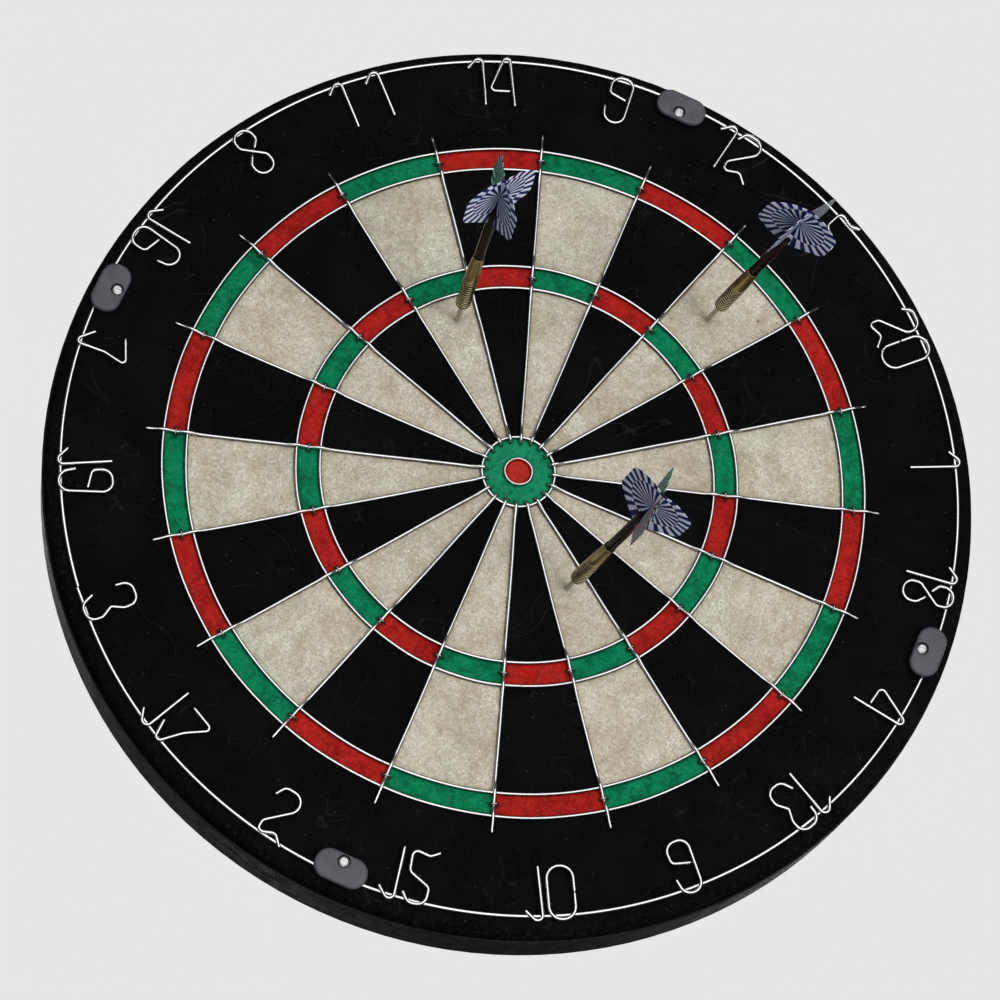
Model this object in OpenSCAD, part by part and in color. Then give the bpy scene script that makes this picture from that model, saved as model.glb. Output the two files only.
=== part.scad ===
// Bristle dartboard: a pressed sisal disc with a steel wire spider, a loose number ring held by four
// swing clips, three pull-out darts, and the yoke bracket that it hangs and turns on.
// Frame: +Z up, the face looks towards -Y, the wall is the plane y = 0, and the origin is the centre of
// the bracket's screw pattern, on the board's own axis.

/* [Board] */
// Radius of the sisal face and rim
board_r = 225.4; // [215:0.1:235]
// Thickness of the board from its back to its face
board_t = 38; // [34:1:44]
// Thickness of the chipboard disc behind the sisal
backing_t = 6; // [4:0.5:9]
// Depth to which the sisal of the scoring segments is dyed or left natural
dye_t = 4; // [2:0.5:6]
// Radius of the rounded front rim of the sisal
rim_round = 7; // [3:0.5:9]
// Depth below the face at which the steel band starts
band_setback = 10.5; // [7:0.5:16]
// Thickness of the steel band's sheet
band_t = 0.8; // [0.6:0.1:1.2]
// Gap between the wall and the board's back
wall_gap = 11; // [10.5:0.1:11.5]

/* [Spider] */
// Radius of the spider's wire
wire_r = 0.8; // [0.5:0.05:1]
// Radius of the outer wire of the double ring
double_outer_r = 170; // [168:0.5:172]
// Radius of the inner wire of the double ring
double_inner_r = 158.9; // [157:0.1:162]
// Radius of the outer wire of the treble ring
treble_outer_r = 106.9; // [105:0.1:108]
// Radius of the inner wire of the treble ring
treble_inner_r = 95.4; // [94:0.1:99]
// Radius of the wire round the outer bull
bull_outer_r = 17.7; // [15:0.1:18]
// Radius of the thin ring round the inner bull
bull_inner_r = 6.6; // [6:0.1:7]
// Radius at which a radial wire turns down outside the double ring
radial_end_r = 178.6; // [175:0.2:182]

/* [Number ring] */
// Radius of the hoop's centre line
hoop_r = 216.7; // [214:0.1:218]
// Radius of the hoop's wire
hoop_wire_r = 1; // [0.8:0.05:1.05]
// Radius of the numerals' wire
numeral_wire_r = 0.85; // [0.6:0.05:0.9]
// Height of a numeral between the centre lines of its top and foot
numeral_h = 25; // [22:0.5:26]

/* [Clips] */
// Length of a clip along the hoop
clip_l = 25.4; // [20:0.2:28]
// Width of a clip across the hoop
clip_w = 14.4; // [12:0.2:16]
// Height of a clip above the face
clip_h = 5.2; // [4.6:0.1:6.5]
// Corner radius of a clip's outline
clip_corner = 6.8; // [3:0.1:7]
// Distance from the board's axis to a clip's screw
clip_screw_r = 210.6; // [209:0.1:212]
// Distance from a clip's screw out to the middle of the clip
clip_offset = 3.3; // [2:0.1:4]
// Angle of the first clip, clockwise from the top
clip_angle = 45.6; // [43:0.1:47]

/* [Darts] */
// Length of a point in front of its barrel
point_l = 32; // [28:1:38]
// Radius of a point
point_r = 1.15; // [1:0.05:1.3]
// Length of a barrel
barrel_l = 50; // [44:1:54]
// Largest radius of a barrel
barrel_r = 3.6; // [3.2:0.1:4.2]
// Number of grooves in a barrel's grip
grip_grooves = 11; // [6:1:14]
// Length of a shaft behind its barrel
shaft_l = 48; // [40:1:56]
// Radius of a shaft
shaft_r = 2.5; // [2.2:0.1:2.8]
// Length of a flight
flight_l = 38; // [34:1:44]
// Width of one fin from the dart's axis
flight_w = 18; // [15:0.5:22]
// Thickness of a flight's film
film_t = 0.4; // [0.3:0.05:0.6]

/* [Hanging] */
// Radius of the hanger bush's neck
neck_r = 4.2; // [4:0.1:5]
// Side clearance of the neck in the yoke
yoke_gap = 0.1; // [0.05:0.05:0.3]
// Width of the bracket's plate
plate_w = 60; // [54:1:80]
// Height of the bracket's plate
plate_h = 76; // [70:1:100]
// Thickness of the bracket's sheet steel
plate_t = 1.5; // [1.2:0.1:2]
// Spacing of the wall screw holes across
hole_dx = 44; // [40:1:50]
// Spacing of the wall screw holes up and down
hole_dz = 60; // [54:1:66]
// Radius of the wall screw holes
hole_r = 2.4; // [2:0.1:3]
// Distance of the rubber bumpers from the board's axis
bumper_ring_r = 168; // [120:1:190]

/* [Hidden] */
$fn = 48;
eps = 0.02;
sectors = 20;
sector_deg = 360 / sectors;
segment_gap_deg = 0.01;
face_y = -(wall_gap + board_t);
lift = 0.02;
ring_z = wire_r + lift;
weld_sink = 0.5;
radial_z = ring_z + 2 * wire_r - weld_sink;
bend_r = 1.6;
leg_l = 6;
radial_start_r = 16.6;
staple_r = 0.4;
staple_half = 1.5;
staple_top = radial_z + wire_r + staple_r + lift;
hoop_z = hoop_wire_r + 0.05;
numeral_sink = 0.15;
numeral_z = hoop_z + hoop_wire_r + numeral_wire_r - numeral_sink;
numeral_top_r = hoop_r + 1.6;
clip_under = 2.3;
clip_edge = 1.3;
clip_boss_r = 3.8;
clip_bore_r = 1.7;
clip_head_r = 2.9;
clip_head_depth = 1.3;
screw_shank_r = 1.62;
screw_head_r = 2.5;
screw_l = 24;
pin_gap = 0.05;
arc_step = 30;
tube_sides = 8;
point_tip = 9;
point_in_barrel = 14;
stub_l = 9;
stub_r = 2.2;
grip_l = 27;
nose_r = 2.5;
barrel_tail_r = 2.75;
groove_depth = 0.32;
slot_l = 12;
yoke_half = 12;
yoke_top = 16;
yoke_foot = -13;
yoke_front = -9;
shank_r = 2.5;
shank_bite = 18;
shank_tip = 4;
hook_head_r = 4.8;
hook_head_front = 4.4;
bush_flange_r = 9;
bush_collar_r = 7;
bush_flange_t = 2.8;
bush_collar_t = 1.6;
bush_play = 0.2;
bumper_r = 10;
bumper_foot_r = 11;
bumper_screw_r = 1.5;
bumper_head_r = 3.2;
bumper_counterbore = 4;
bumper_h = wall_gap - 0.1;
steel = [0.78, 0.79, 0.80];
black = [0.05, 0.05, 0.055];

// Each numeral is one or two digits: [shape, offset along the hoop, placing]
upright = 0;
turned = 1;
mirrored = 2;
NUMERALS = [
    ["numeral_20", [[2, -12.7, upright], [0, 2.7, upright]]],
    ["numeral_1", [[1, -2.2, upright]]],
    ["numeral_18", [[1, -9.3, upright], [8, 1.2, upright]]],
    ["numeral_4", [[4, -3.4, upright]]],
    ["numeral_13", [[1, -9.3, upright], [3, 1.0, upright]]],
    ["numeral_6", [[6, -2.6, upright]]],
    ["numeral_10", [[0, -7.7, upright], [1, 15.7, mirrored]]],
    ["numeral_15", [[5, 5.8, turned], [1, 17, mirrored]]],
    ["numeral_2", [[2, 12.3, turned]]],
    ["numeral_17", [[7, 5, turned], [1, 19.8, mirrored]]],
    ["numeral_3", [[3, 12.5, turned]]],
    ["numeral_19", [[6, -4.2, upright], [1, 18.4, mirrored]]],
    ["numeral_7", [[9, 12.3, turned]]],
    ["numeral_16", [[6, 5.6, turned], [1, 17.3, mirrored]]],
    ["numeral_8", [[8, 10.7, mirrored]]],
    ["numeral_11", [[1, -11.9, upright], [1, 7.4, upright]]],
    ["numeral_14", [[1, -7, upright], [4, 3.4, upright]]],
    ["numeral_9", [[6, 10.4, turned]]],
    ["numeral_12", [[1, -8.7, upright], [2, 1.4, upright]]],
    ["numeral_5", [[5, -3.1, upright]]]
];

// Bent-wire digits as corner points [x, y, bend radius], foot at y = 0 and top at y = 25.
// Shape 6 turned over is a 9, and shape 9 is the narrower 7 that stands alone.
DIGITS = [
    [[0, 13.2, 0], [0, 25, 6], [12.4, 25, 6], [12.4, 0, 6], [0, 0, 6], [0, 12.1, 0]],
    [[0, 20.2, 0], [7.8, 28.9, 2.4], [7.3, 0, 0]],
    [[0, 20.4, 0], [2.4, 25.4, 3.5], [12.9, 25.4, 5.2], [12.3, 17.7, 5], [1.4, 6.7, 3], [1.8, 0.9, 2],
     [9.7, 4.6, 2.5], [14.5, 0.1, 0]],
    [[0, 18, 0], [0.5, 25.1, 4.5], [11.3, 25.1, 4.5], [11.6, 18, 4], [8.9, 12.3, 1.2], [12.4, 7.1, 3],
     [12.4, 0, 4.5], [3.6, 0, 4.5], [0.8, 6.1, 0]],
    [[9.3, 7, 0], [-0.5, 7.7, 2], [11.2, 30.8, 1.9], [11.5, -1, 0]],
    [[0, 4.7, 0], [3.2, 0.4, 3.5], [11.2, 0.6, 4.6], [11.4, 9.4, 3], [1, 14.6, 3.2], [0.3, 25.2, 2.4],
     [8.6, 23.7, 2.5], [12.6, 26.2, 0]],
    [[12.2, 17.2, 0], [11, 25.1, 5], [1.7, 25.1, 5], [-0.1, 0, 4.8], [11.3, 0, 5], [11.3, 9.3, 2.5],
     [2.9, 11.7, 0]],
    [[0, 22.7, 0], [13.6, 22.5, 1.8], [6, 11.6, 12], [0.3, -2.5, 1.8], [-4.4, 8.4, 0]],
    [[3.6, 14.1, 0], [0, 17.2, 3], [0, 24.9, 4.8], [10.1, 24.9, 4.8], [10.1, 17.5, 3], [0.7, 7.9, 3],
     [0.7, 0, 4.8], [10.9, 0, 4.8], [10.9, 7.3, 3], [7.4, 11.3, 0]],
    [[0, 21, 0], [13.1, 24.6, 1.6], [9, 13, 8], [7.6, -3.4, 1.8], [0.3, 6.2, 0]]
];

// Each dart: [x, z of its hole in the face, lean up, lean sideways, barrel's distance from the face,
// directions of its four fins, how far the flight stands back from the bottom of its slot]
DART_A = [-41.3, 119.7, 4.9, 5.3, 20.1, [27, 99, 231, 287], 6.3];
DART_B = [-82.6, 2.4, 3, -3.4, 16.4, [101, 168, 275, 355], 0];
DART_C = [61.8, -0.9, 7.8, 3.5, 14.8, [32, 138, 196, 314], 0];
DARTS = [DART_A, DART_B, DART_C];

// Bumpers: angle clockwise from the top, seen from the front
BUMPERS = [0, 120, 240];

// ---- helpers ----

// Puts a piece drawn on the face (x right, y up, z out) where the board hangs
module on_face() {
    translate([0, face_y, 0]) rotate([90, 0, 0]) children();
}

// Turns a piece drawn at the top of the face clockwise by deg
module around(deg) {
    rotate([0, 0, -deg]) children();
}

function heading(a, b) = atan2(b[1] - a[1], b[0] - a[0]);
function wrap(a) = a > 180 ? a - 360 : (a < -180 ? a + 360 : a);
function turn_at(p, i) = wrap(heading(p[i], p[i + 1]) - heading(p[i - 1], p[i]));
function cut_at(p, i) = i == 0 || i == len(p) - 1 ? 0 : p[i][2] * tan(abs(turn_at(p, i)) / 2);
function flat(q) = [q[0], q[1]];

// Round wire bent in the xy plane along corner points [x, y, bend radius]
module bent_wire(p, r) {
    for (i = [0 : len(p) - 2]) {
        deg = heading(p[i], p[i + 1]);
        run = norm(flat(p[i + 1]) - flat(p[i])) - cut_at(p, i) - cut_at(p, i + 1);
        translate([p[i][0], p[i][1], 0]) rotate([0, 0, deg]) translate([cut_at(p, i), 0, 0])
            rotate([0, 90, 0]) cylinder(h = run, r = r);
    }
    for (i = [1 : len(p) - 2]) {
        deg = heading(p[i - 1], p[i]);
        bend = turn_at(p, i);
        side = bend > 0 ? 1 : -1;
        translate([p[i][0], p[i][1], 0]) rotate([0, 0, deg]) translate([-cut_at(p, i), side * p[i][2], 0])
            rotate([0, 0, side > 0 ? -90 : 90 + bend])
                rotate_extrude(angle = abs(bend)) translate([p[i][2], 0]) circle(r = r);
    }
}

// The same bent wire as one closed tube of flat facets, for outlines whose bends take any angle
function bend_points(p, i) =
    let (deg = heading(p[i - 1], p[i]), bend = turn_at(p, i), side = bend > 0 ? 1 : -1,
         steps = max(1, ceil(abs(bend) / arc_step)), start = deg - 90 * side, r = p[i][2],
         centre = flat(p[i]) - cut_at(p, i) * [cos(deg), sin(deg)] + side * r * [-sin(deg), cos(deg)])
    [for (k = [0 : steps]) centre + r * [cos(start + bend * k / steps), sin(start + bend * k / steps)]];
function centre_line(p) =
    concat([flat(p[0])], [for (i = [1 : len(p) - 2]) each bend_points(p, i)], [flat(p[len(p) - 1])]);

module swept_wire(p, r) {
    c = centre_line(p);
    n = len(c);
    m = tube_sides;
    points = [for (i = [0 : n - 1])
        let (before = heading(c[max(i - 1, 0)], c[max(i, 1)]),
             bend = i == 0 || i == n - 1 ? 0 : wrap(heading(c[i], c[i + 1]) - before),
             along = before + bend / 2, side = [-sin(along), cos(along)] / cos(bend / 2))
        for (k = [0 : m - 1])
            let (a = (k + 0.5) * 360 / m)
            [c[i][0] + r * cos(a) * side[0], c[i][1] + r * cos(a) * side[1], r * sin(a)]];
    walls = [for (i = [0 : n - 2], k = [0 : m - 1])
        let (a = i * m + k, b = i * m + (k + 1) % m)
        each [[a, a + m, b], [b, a + m, b + m]]];
    caps = [[for (k = [0 : m - 1]) k], [for (k = [m - 1 : -1 : 0]) (n - 1) * m + k]];
    polyhedron(points, concat(walls, caps));
}

// Ring of round wire lying flat
module wire_ring(ring_r, r, z) {
    translate([0, 0, z]) rotate_extrude($fn = 180) translate([ring_r, 0]) circle(r = r, $fn = 32);
}

// Carries a piece drawn along +Z from the face's hole onto a dart's own axis
module on_dart(d) {
    translate([d[0], face_y, d[1]]) rotate([90 - d[2], 0, d[3]]) children();
}

// ---- board ----

// Half section of the sisal, with its rounded front rim and the shallow bed that holds the segments
module sisal_profile() {
    back = backing_t - board_t;
    translate([0, back]) square([double_outer_r, -back - dye_t]);
    translate([double_outer_r, back]) square([board_r - rim_round - double_outer_r, -back]);
    translate([double_outer_r, back]) square([board_r - double_outer_r, -back - rim_round]);
    translate([board_r - rim_round, -rim_round]) circle(r = rim_round, $fn = 64);
}

// The holes that the three dart points stand in
module dart_holes() {
    for (d = DARTS)
        on_dart(d) translate([0, 0, d[4] - point_l - 0.3])
            cylinder(h = point_l + 2, r = point_r + pin_gap);
}

module sisal_disc() {
    color(black) difference() {
        on_face() rotate_extrude($fn = 180) sisal_profile();
        dart_holes();
        on_face() translate([0, 0, backing_t - board_t - 1]) cylinder(h = shank_bite + 1, r = shank_r);
        on_face() for (k = [0 : 3])
            around(clip_angle + 90 * k) translate([0, clip_screw_r, -screw_l])
                cylinder(h = screw_l + 1, r = screw_shank_r);
    }
}

// Segments of one ring band, in every second sector from the first
module band_segments(first, inner_r, outer_r) {
    wide = sector_deg - segment_gap_deg;
    for (k = [first : 2 : sectors - 1])
        around(k * sector_deg) rotate([0, 0, 90 - wide / 2])
            rotate_extrude(angle = wide) translate([inner_r, -dye_t]) square([outer_r - inner_r, dye_t]);
}

// The two large beds of every second sector
module single_segments(first) {
    band_segments(first, bull_outer_r, treble_inner_r);
    band_segments(first, treble_outer_r, double_inner_r);
}

// The treble and double beds of every second sector
module scoring_segments(first) {
    band_segments(first, treble_inner_r, treble_outer_r);
    band_segments(first, double_inner_r, double_outer_r);
}

module black_segments() {
    color(black) on_face() single_segments(0);
}

module natural_segments() {
    color([0.72, 0.67, 0.57]) difference() {
        on_face() single_segments(1);
        dart_holes();
    }
}

module red_segments() {
    color([0.72, 0.08, 0.07]) on_face() {
        scoring_segments(0);
        translate([0, 0, -dye_t]) cylinder(h = dye_t, r = bull_inner_r);
    }
}

module green_segments() {
    color([0.02, 0.45, 0.27]) on_face() {
        scoring_segments(1);
        rotate_extrude() translate([bull_inner_r, -dye_t]) square([bull_outer_r - bull_inner_r, dye_t]);
    }
}

module backing_board() {
    color([0.72, 0.58, 0.40]) on_face() difference() {
        translate([0, 0, -board_t]) cylinder(h = backing_t, r = board_r, $fn = 180);
        translate([0, 0, -board_t - 1]) cylinder(h = backing_t + 2, r = shank_r);
        for (a = BUMPERS)
            around(a) translate([0, bumper_ring_r, -board_t - 1]) cylinder(h = backing_t, r = bumper_screw_r);
    }
}

module steel_band() {
    lip = 4;
    color([0.04, 0.04, 0.045]) on_face() rotate_extrude($fn = 180) {
        translate([board_r, -board_t]) square([band_t, board_t - band_setback]);
        translate([board_r - lip, -board_t - band_t]) square([lip + band_t, band_t]);
    }
}

// ---- spider ----

module radial_wires() {
    path = [[radial_start_r - bend_r, -leg_l, 0], [radial_start_r - bend_r, radial_z, bend_r],
            [radial_end_r + bend_r, radial_z, bend_r], [radial_end_r + bend_r, -leg_l, 0]];
    color(steel) on_face() for (k = [0 : sectors - 1])
        around((k + 0.5) * sector_deg) rotate([90, 0, 90]) bent_wire(path, wire_r);
}

module staples(band_r) {
    path = [[-staple_half, -leg_l, 0], [-staple_half, staple_top, 0.7], [staple_half, staple_top, 0.7],
            [staple_half, -leg_l, 0]];
    color([0.70, 0.70, 0.70]) on_face() for (k = [0 : sectors - 1])
        around((k + 0.5) * sector_deg) translate([0, band_r, 0]) rotate([90, 0, 0])
            bent_wire(path, staple_r, $fn = 24);
}

module double_staples() {
    staples((double_outer_r + double_inner_r) / 2);
}

module treble_staples() {
    staples((treble_outer_r + treble_inner_r) / 2);
}

module spider_ring(ring_r) {
    color(steel) on_face() wire_ring(ring_r, wire_r, ring_z);
}

module inner_bull_ring() {
    thick = 0.8;
    color([0.80, 0.72, 0.70]) on_face() rotate_extrude($fn = 96) {
        translate([bull_inner_r - thick / 2, -3]) square([thick, 4.4]);
        translate([bull_inner_r, 1.4]) circle(r = thick / 2, $fn = 24);
    }
}

// ---- number ring ----

module number_hoop() {
    color(steel) on_face() wire_ring(hoop_r, hoop_wire_r, hoop_z);
}

module digit(shape, offset, placing) {
    foot = numeral_top_r - numeral_h;
    if (placing == upright)
        translate([offset, foot, 0]) swept_wire(DIGITS[shape], numeral_wire_r);
    if (placing == turned)
        translate([offset, numeral_top_r, 0]) rotate([0, 0, 180]) swept_wire(DIGITS[shape], numeral_wire_r);
    if (placing == mirrored)
        translate([offset, foot, 0]) mirror([1, 0, 0]) swept_wire(DIGITS[shape], numeral_wire_r);
}

module numeral(k) {
    color(steel) on_face() around(k * sector_deg) translate([0, 0, numeral_z])
        for (d = NUMERALS[k][1]) digit(d[0], d[1], d[2]);
}

// ---- clips ----

module rounded_plate(l, w, corner, h) {
    translate([-l / 2 + corner, -w / 2, 0]) cube([l - 2 * corner, w, h]);
    translate([-l / 2, -w / 2 + corner, 0]) cube([l, w - 2 * corner, h]);
    for (x = [-1, 1], y = [-1, 1])
        translate([x * (l / 2 - corner), y * (w / 2 - corner), 0]) cylinder(h = h, r = corner);
}

module clip(k) {
    color([0.16, 0.16, 0.17]) on_face() around(clip_angle + 90 * k) translate([0, clip_screw_r, 0])
        difference() {
            union() {
                translate([0, 0, eps]) cylinder(h = clip_under, r = clip_boss_r);
                translate([0, clip_offset, clip_under])
                    rounded_plate(clip_l, clip_w, clip_corner, clip_h - clip_under - clip_edge);
                translate([0, clip_offset, clip_h - clip_edge - eps])
                    rounded_plate(clip_l - clip_edge, clip_w - clip_edge, clip_corner - clip_edge / 2,
                                  clip_edge / 2 + eps);
                translate([0, clip_offset, clip_h - clip_edge])
                    rounded_plate(clip_l - 2.6 * clip_edge, clip_w - 2.6 * clip_edge,
                                  clip_corner - 1.3 * clip_edge, clip_edge);
            }
            cylinder(h = 3 * clip_h, r = clip_bore_r, center = true);
            translate([0, 0, clip_h - clip_head_depth]) cylinder(h = clip_h, r = clip_head_r);
        }
}

module clip_screws() {
    head = clip_h - clip_head_depth + pin_gap;
    color([0.85, 0.85, 0.86]) on_face() for (k = [0 : 3])
        around(clip_angle + 90 * k) translate([0, clip_screw_r, 0]) {
            translate([0, 0, -screw_l + 4]) cylinder(h = head + screw_l - 4 + eps, r = screw_shank_r);
            translate([0, 0, -screw_l]) cylinder(h = 4 + eps, r1 = 0.3, r2 = screw_shank_r);
            difference() {
                union() {
                    translate([0, 0, head]) cylinder(h = 0.9, r = screw_head_r);
                    translate([0, 0, head + 0.9]) cylinder(h = 0.45, r1 = screw_head_r, r2 = 1.7);
                }
                translate([-0.35, -1.4, head + 0.7]) cube([0.7, 2.8, 1]);
                translate([-1.4, -0.35, head + 0.7]) cube([2.8, 0.7, 1]);
            }
        }
}

// ---- darts ----

module dart_point(d) {
    back = d[4] + point_in_barrel;
    tip = d[4] - point_l;
    color([0.62, 0.62, 0.62]) on_dart(d) {
        translate([0, 0, tip]) cylinder(h = point_tip + eps, r1 = 0.15, r2 = point_r);
        translate([0, 0, tip + point_tip]) cylinder(h = back - tip - point_tip, r = point_r);
    }
}

module barrel_profile() {
    pitch = (grip_l - 3) / grip_grooves;
    difference() {
        polygon([[0, 0], [nose_r, 0], [barrel_r, 2.2], [barrel_r, grip_l],
                 [barrel_r - 0.15, grip_l + 8], [barrel_tail_r, barrel_l], [0, barrel_l]]);
        for (i = [0 : grip_grooves - 1])
            translate([barrel_r - groove_depth, 3 + i * pitch]) square([1, pitch * 0.42]);
        translate([-1, -1]) square([1 + point_r, point_in_barrel + 1]);
        translate([-1, barrel_l - stub_l]) square([1 + stub_r, stub_l + 1]);
    }
}

module dart_barrel(d) {
    color([0.62, 0.52, 0.28]) on_dart(d) translate([0, 0, d[4]]) rotate_extrude() barrel_profile();
}

module fin_outline() {
    hull() {
        translate([0, 0.5]) square([shaft_r + 0.9, 1]);
        translate([flight_w - 5, 15]) circle(r = 5, $fn = 32);
        translate([flight_w - 7, flight_l - 9]) circle(r = 7, $fn = 32);
        translate([0, flight_l - 1]) square([flight_w * 0.45, 1]);
    }
}

module fins(d, film, start) {
    for (a = d[5])
        rotate([0, 0, a]) translate([0, film / 2, start]) rotate([90, 0, 0])
            linear_extrude(height = film) fin_outline();
}

function flight_start(d) = d[4] + barrel_l + shaft_l - slot_l;

module dart_shaft(d) {
    start = d[4] + barrel_l;
    color(black) on_dart(d) difference() {
        union() {
            translate([0, 0, start - stub_l + 0.5]) cylinder(h = stub_l, r = stub_r);
            translate([0, 0, start]) cylinder(h = shaft_l, r = shaft_r);
            translate([0, 0, start + 1.5]) cylinder(h = 3, r = shaft_r + 0.25);
        }
        for (a = d[5])
            rotate([0, 0, a]) translate([0, -film_t / 2 - 0.02, flight_start(d)])
                cube([shaft_r + 1, film_t + 0.04, slot_l + 1]);
        translate([0, 0, flight_start(d)]) cylinder(h = slot_l + 1, r = 0.7);
    }
}

module dart_flight(d) {
    color([0.45, 0.47, 0.72]) on_dart(d) fins(d, film_t, flight_start(d) + d[6] - 0.4);
}

// ---- hanging ----

module wall_bracket() {
    pocket = yoke_half - plate_t;
    color([0.55, 0.56, 0.58]) difference() {
        union() {
            translate([-plate_w / 2, -plate_t, -plate_h / 2]) cube([plate_w, plate_t, plate_h]);
            translate([-yoke_half, yoke_front, yoke_foot])
                cube([2 * yoke_half, -yoke_front, yoke_top - yoke_foot]);
        }
        translate([-pocket, yoke_front + plate_t, yoke_foot + plate_t])
            cube([2 * pocket, -yoke_front - 2 * plate_t, plate_h]);
        translate([-neck_r - yoke_gap, yoke_front - 1, 0])
            cube([2 * (neck_r + yoke_gap), plate_t + 2, plate_h]);
        translate([0, yoke_front - 1, 0]) rotate([-90, 0, 0]) cylinder(h = plate_t + 2, r = neck_r + yoke_gap);
        for (x = [-1, 1], z = [-1, 1])
            translate([x * hole_dx / 2, -2 * plate_t, z * hole_dz / 2]) rotate([-90, 0, 0])
                cylinder(h = 3 * plate_t, r = hole_r);
        for (x = [-1, 1], z = [-1, 1])
            translate([x * plate_w / 2, -2 * plate_t, z * plate_h / 2]) rotate([0, 45, 0])
                cube([9, 6 * plate_t, 9], center = true);
    }
}

// Spool that drops into the yoke: a flange behind the yoke's front, a neck in its slot and a collar
module hanger_bush() {
    flange_back = -yoke_front - plate_t - bush_play - bush_flange_t;
    color([0.80, 0.80, 0.81]) rotate([90, 0, 0]) difference() {
        union() {
            translate([0, 0, flange_back]) cylinder(h = bush_flange_t, r = bush_flange_r);
            translate([0, 0, flange_back + bush_flange_t - 0.3])
                cylinder(h = plate_t + 2 * bush_play + 1, r = neck_r);
            translate([0, 0, bush_play - yoke_front]) cylinder(h = bush_collar_t, r = bush_collar_r);
        }
        cylinder(h = 2 * wall_gap, r = shank_r + pin_gap);
    }
}

module hanging_screw() {
    shank_end = wall_gap + backing_t + shank_bite - shank_tip;
    head_back = hook_head_front - 2.5;
    color([0.70, 0.71, 0.72]) rotate([90, 0, 0]) difference() {
        union() {
            translate([0, 0, head_back]) cylinder(h = 1.4, r1 = hook_head_r - 1.2, r2 = hook_head_r);
            translate([0, 0, head_back + 1.4]) cylinder(h = 1.1, r = hook_head_r);
            translate([0, 0, head_back + 2]) cylinder(h = shank_end - head_back - 2, r = shank_r);
            translate([0, 0, shank_end]) cylinder(h = shank_tip, r1 = shank_r, r2 = 0.3);
        }
        for (a = [0, 90])
            rotate([0, 0, a]) translate([-2.4, -0.5, 1]) cube([4.8, 1, 2]);
    }
}

// Places a bumper or its screw on the board's back, with its foot towards the wall at z = 0
module at_bumpers() {
    for (a = BUMPERS)
        on_face() around(a) translate([0, bumper_ring_r, -board_t - bumper_h]) children();
}

module bumpers() {
    color([0.07, 0.07, 0.07]) at_bumpers() difference() {
        union() {
            cylinder(h = bumper_h, r1 = bumper_r - 2, r2 = bumper_r);
            translate([0, 0, bumper_h - 2]) cylinder(h = 2, r = bumper_foot_r);
        }
        translate([0, 0, -1]) cylinder(h = bumper_h + 2, r = bumper_screw_r + 0.2);
        translate([0, 0, -1]) cylinder(h = bumper_counterbore + 1, r = bumper_head_r + 0.4);
    }
}

module bumper_screws() {
    bite = 4;
    color([0.70, 0.71, 0.72]) at_bumpers() {
        translate([0, 0, bumper_counterbore - 1.8]) cylinder(h = 1.8, r = bumper_head_r);
        translate([0, 0, bumper_counterbore])
            cylinder(h = bumper_h - bumper_counterbore + bite, r = bumper_screw_r);
    }
}

wall_bracket();
hanger_bush();
hanging_screw();
backing_board();
steel_band();
sisal_disc();
black_segments();
natural_segments();
red_segments();
green_segments();
radial_wires();
spider_ring(double_outer_r);  // double_outer_wire
spider_ring(double_inner_r);  // double_inner_wire
spider_ring(treble_outer_r);  // treble_outer_wire
spider_ring(treble_inner_r);  // treble_inner_wire
spider_ring(bull_outer_r);  // outer_bull_wire
inner_bull_ring();
double_staples();
treble_staples();
number_hoop();
numeral(0);  // numeral_20
numeral(1);  // numeral_1
numeral(2);  // numeral_18
numeral(3);  // numeral_4
numeral(4);  // numeral_13
numeral(5);  // numeral_6
numeral(6);  // numeral_10
numeral(7);  // numeral_15
numeral(8);  // numeral_2
numeral(9);  // numeral_17
numeral(10);  // numeral_3
numeral(11);  // numeral_19
numeral(12);  // numeral_7
numeral(13);  // numeral_16
numeral(14);  // numeral_8
numeral(15);  // numeral_11
numeral(16);  // numeral_14
numeral(17);  // numeral_9
numeral(18);  // numeral_12
numeral(19);  // numeral_5
clip(0);  // clip_upper_right
clip(1);  // clip_lower_right
clip(2);  // clip_lower_left
clip(3);  // clip_upper_left
clip_screws();
dart_point(DART_A);  // dart_a_point
dart_barrel(DART_A);  // dart_a_barrel
dart_shaft(DART_A);  // dart_a_shaft
dart_flight(DART_A);  // dart_a_flight
dart_point(DART_B);  // dart_b_point
dart_barrel(DART_B);  // dart_b_barrel
dart_shaft(DART_B);  // dart_b_shaft
dart_flight(DART_B);  // dart_b_flight
dart_point(DART_C);  // dart_c_point
dart_barrel(DART_C);  // dart_c_barrel
dart_shaft(DART_C);  // dart_c_shaft
dart_flight(DART_C);  // dart_c_flight
bumpers();
bumper_screws();
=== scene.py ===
"""Looks of the dartboard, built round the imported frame."""

from math import asin, atan2, ceil, cos, degrees, hypot, pi, radians, sin, tan

import bmesh
import bpy
import numpy as np
from mathutils import Matrix, Vector, noise


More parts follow.
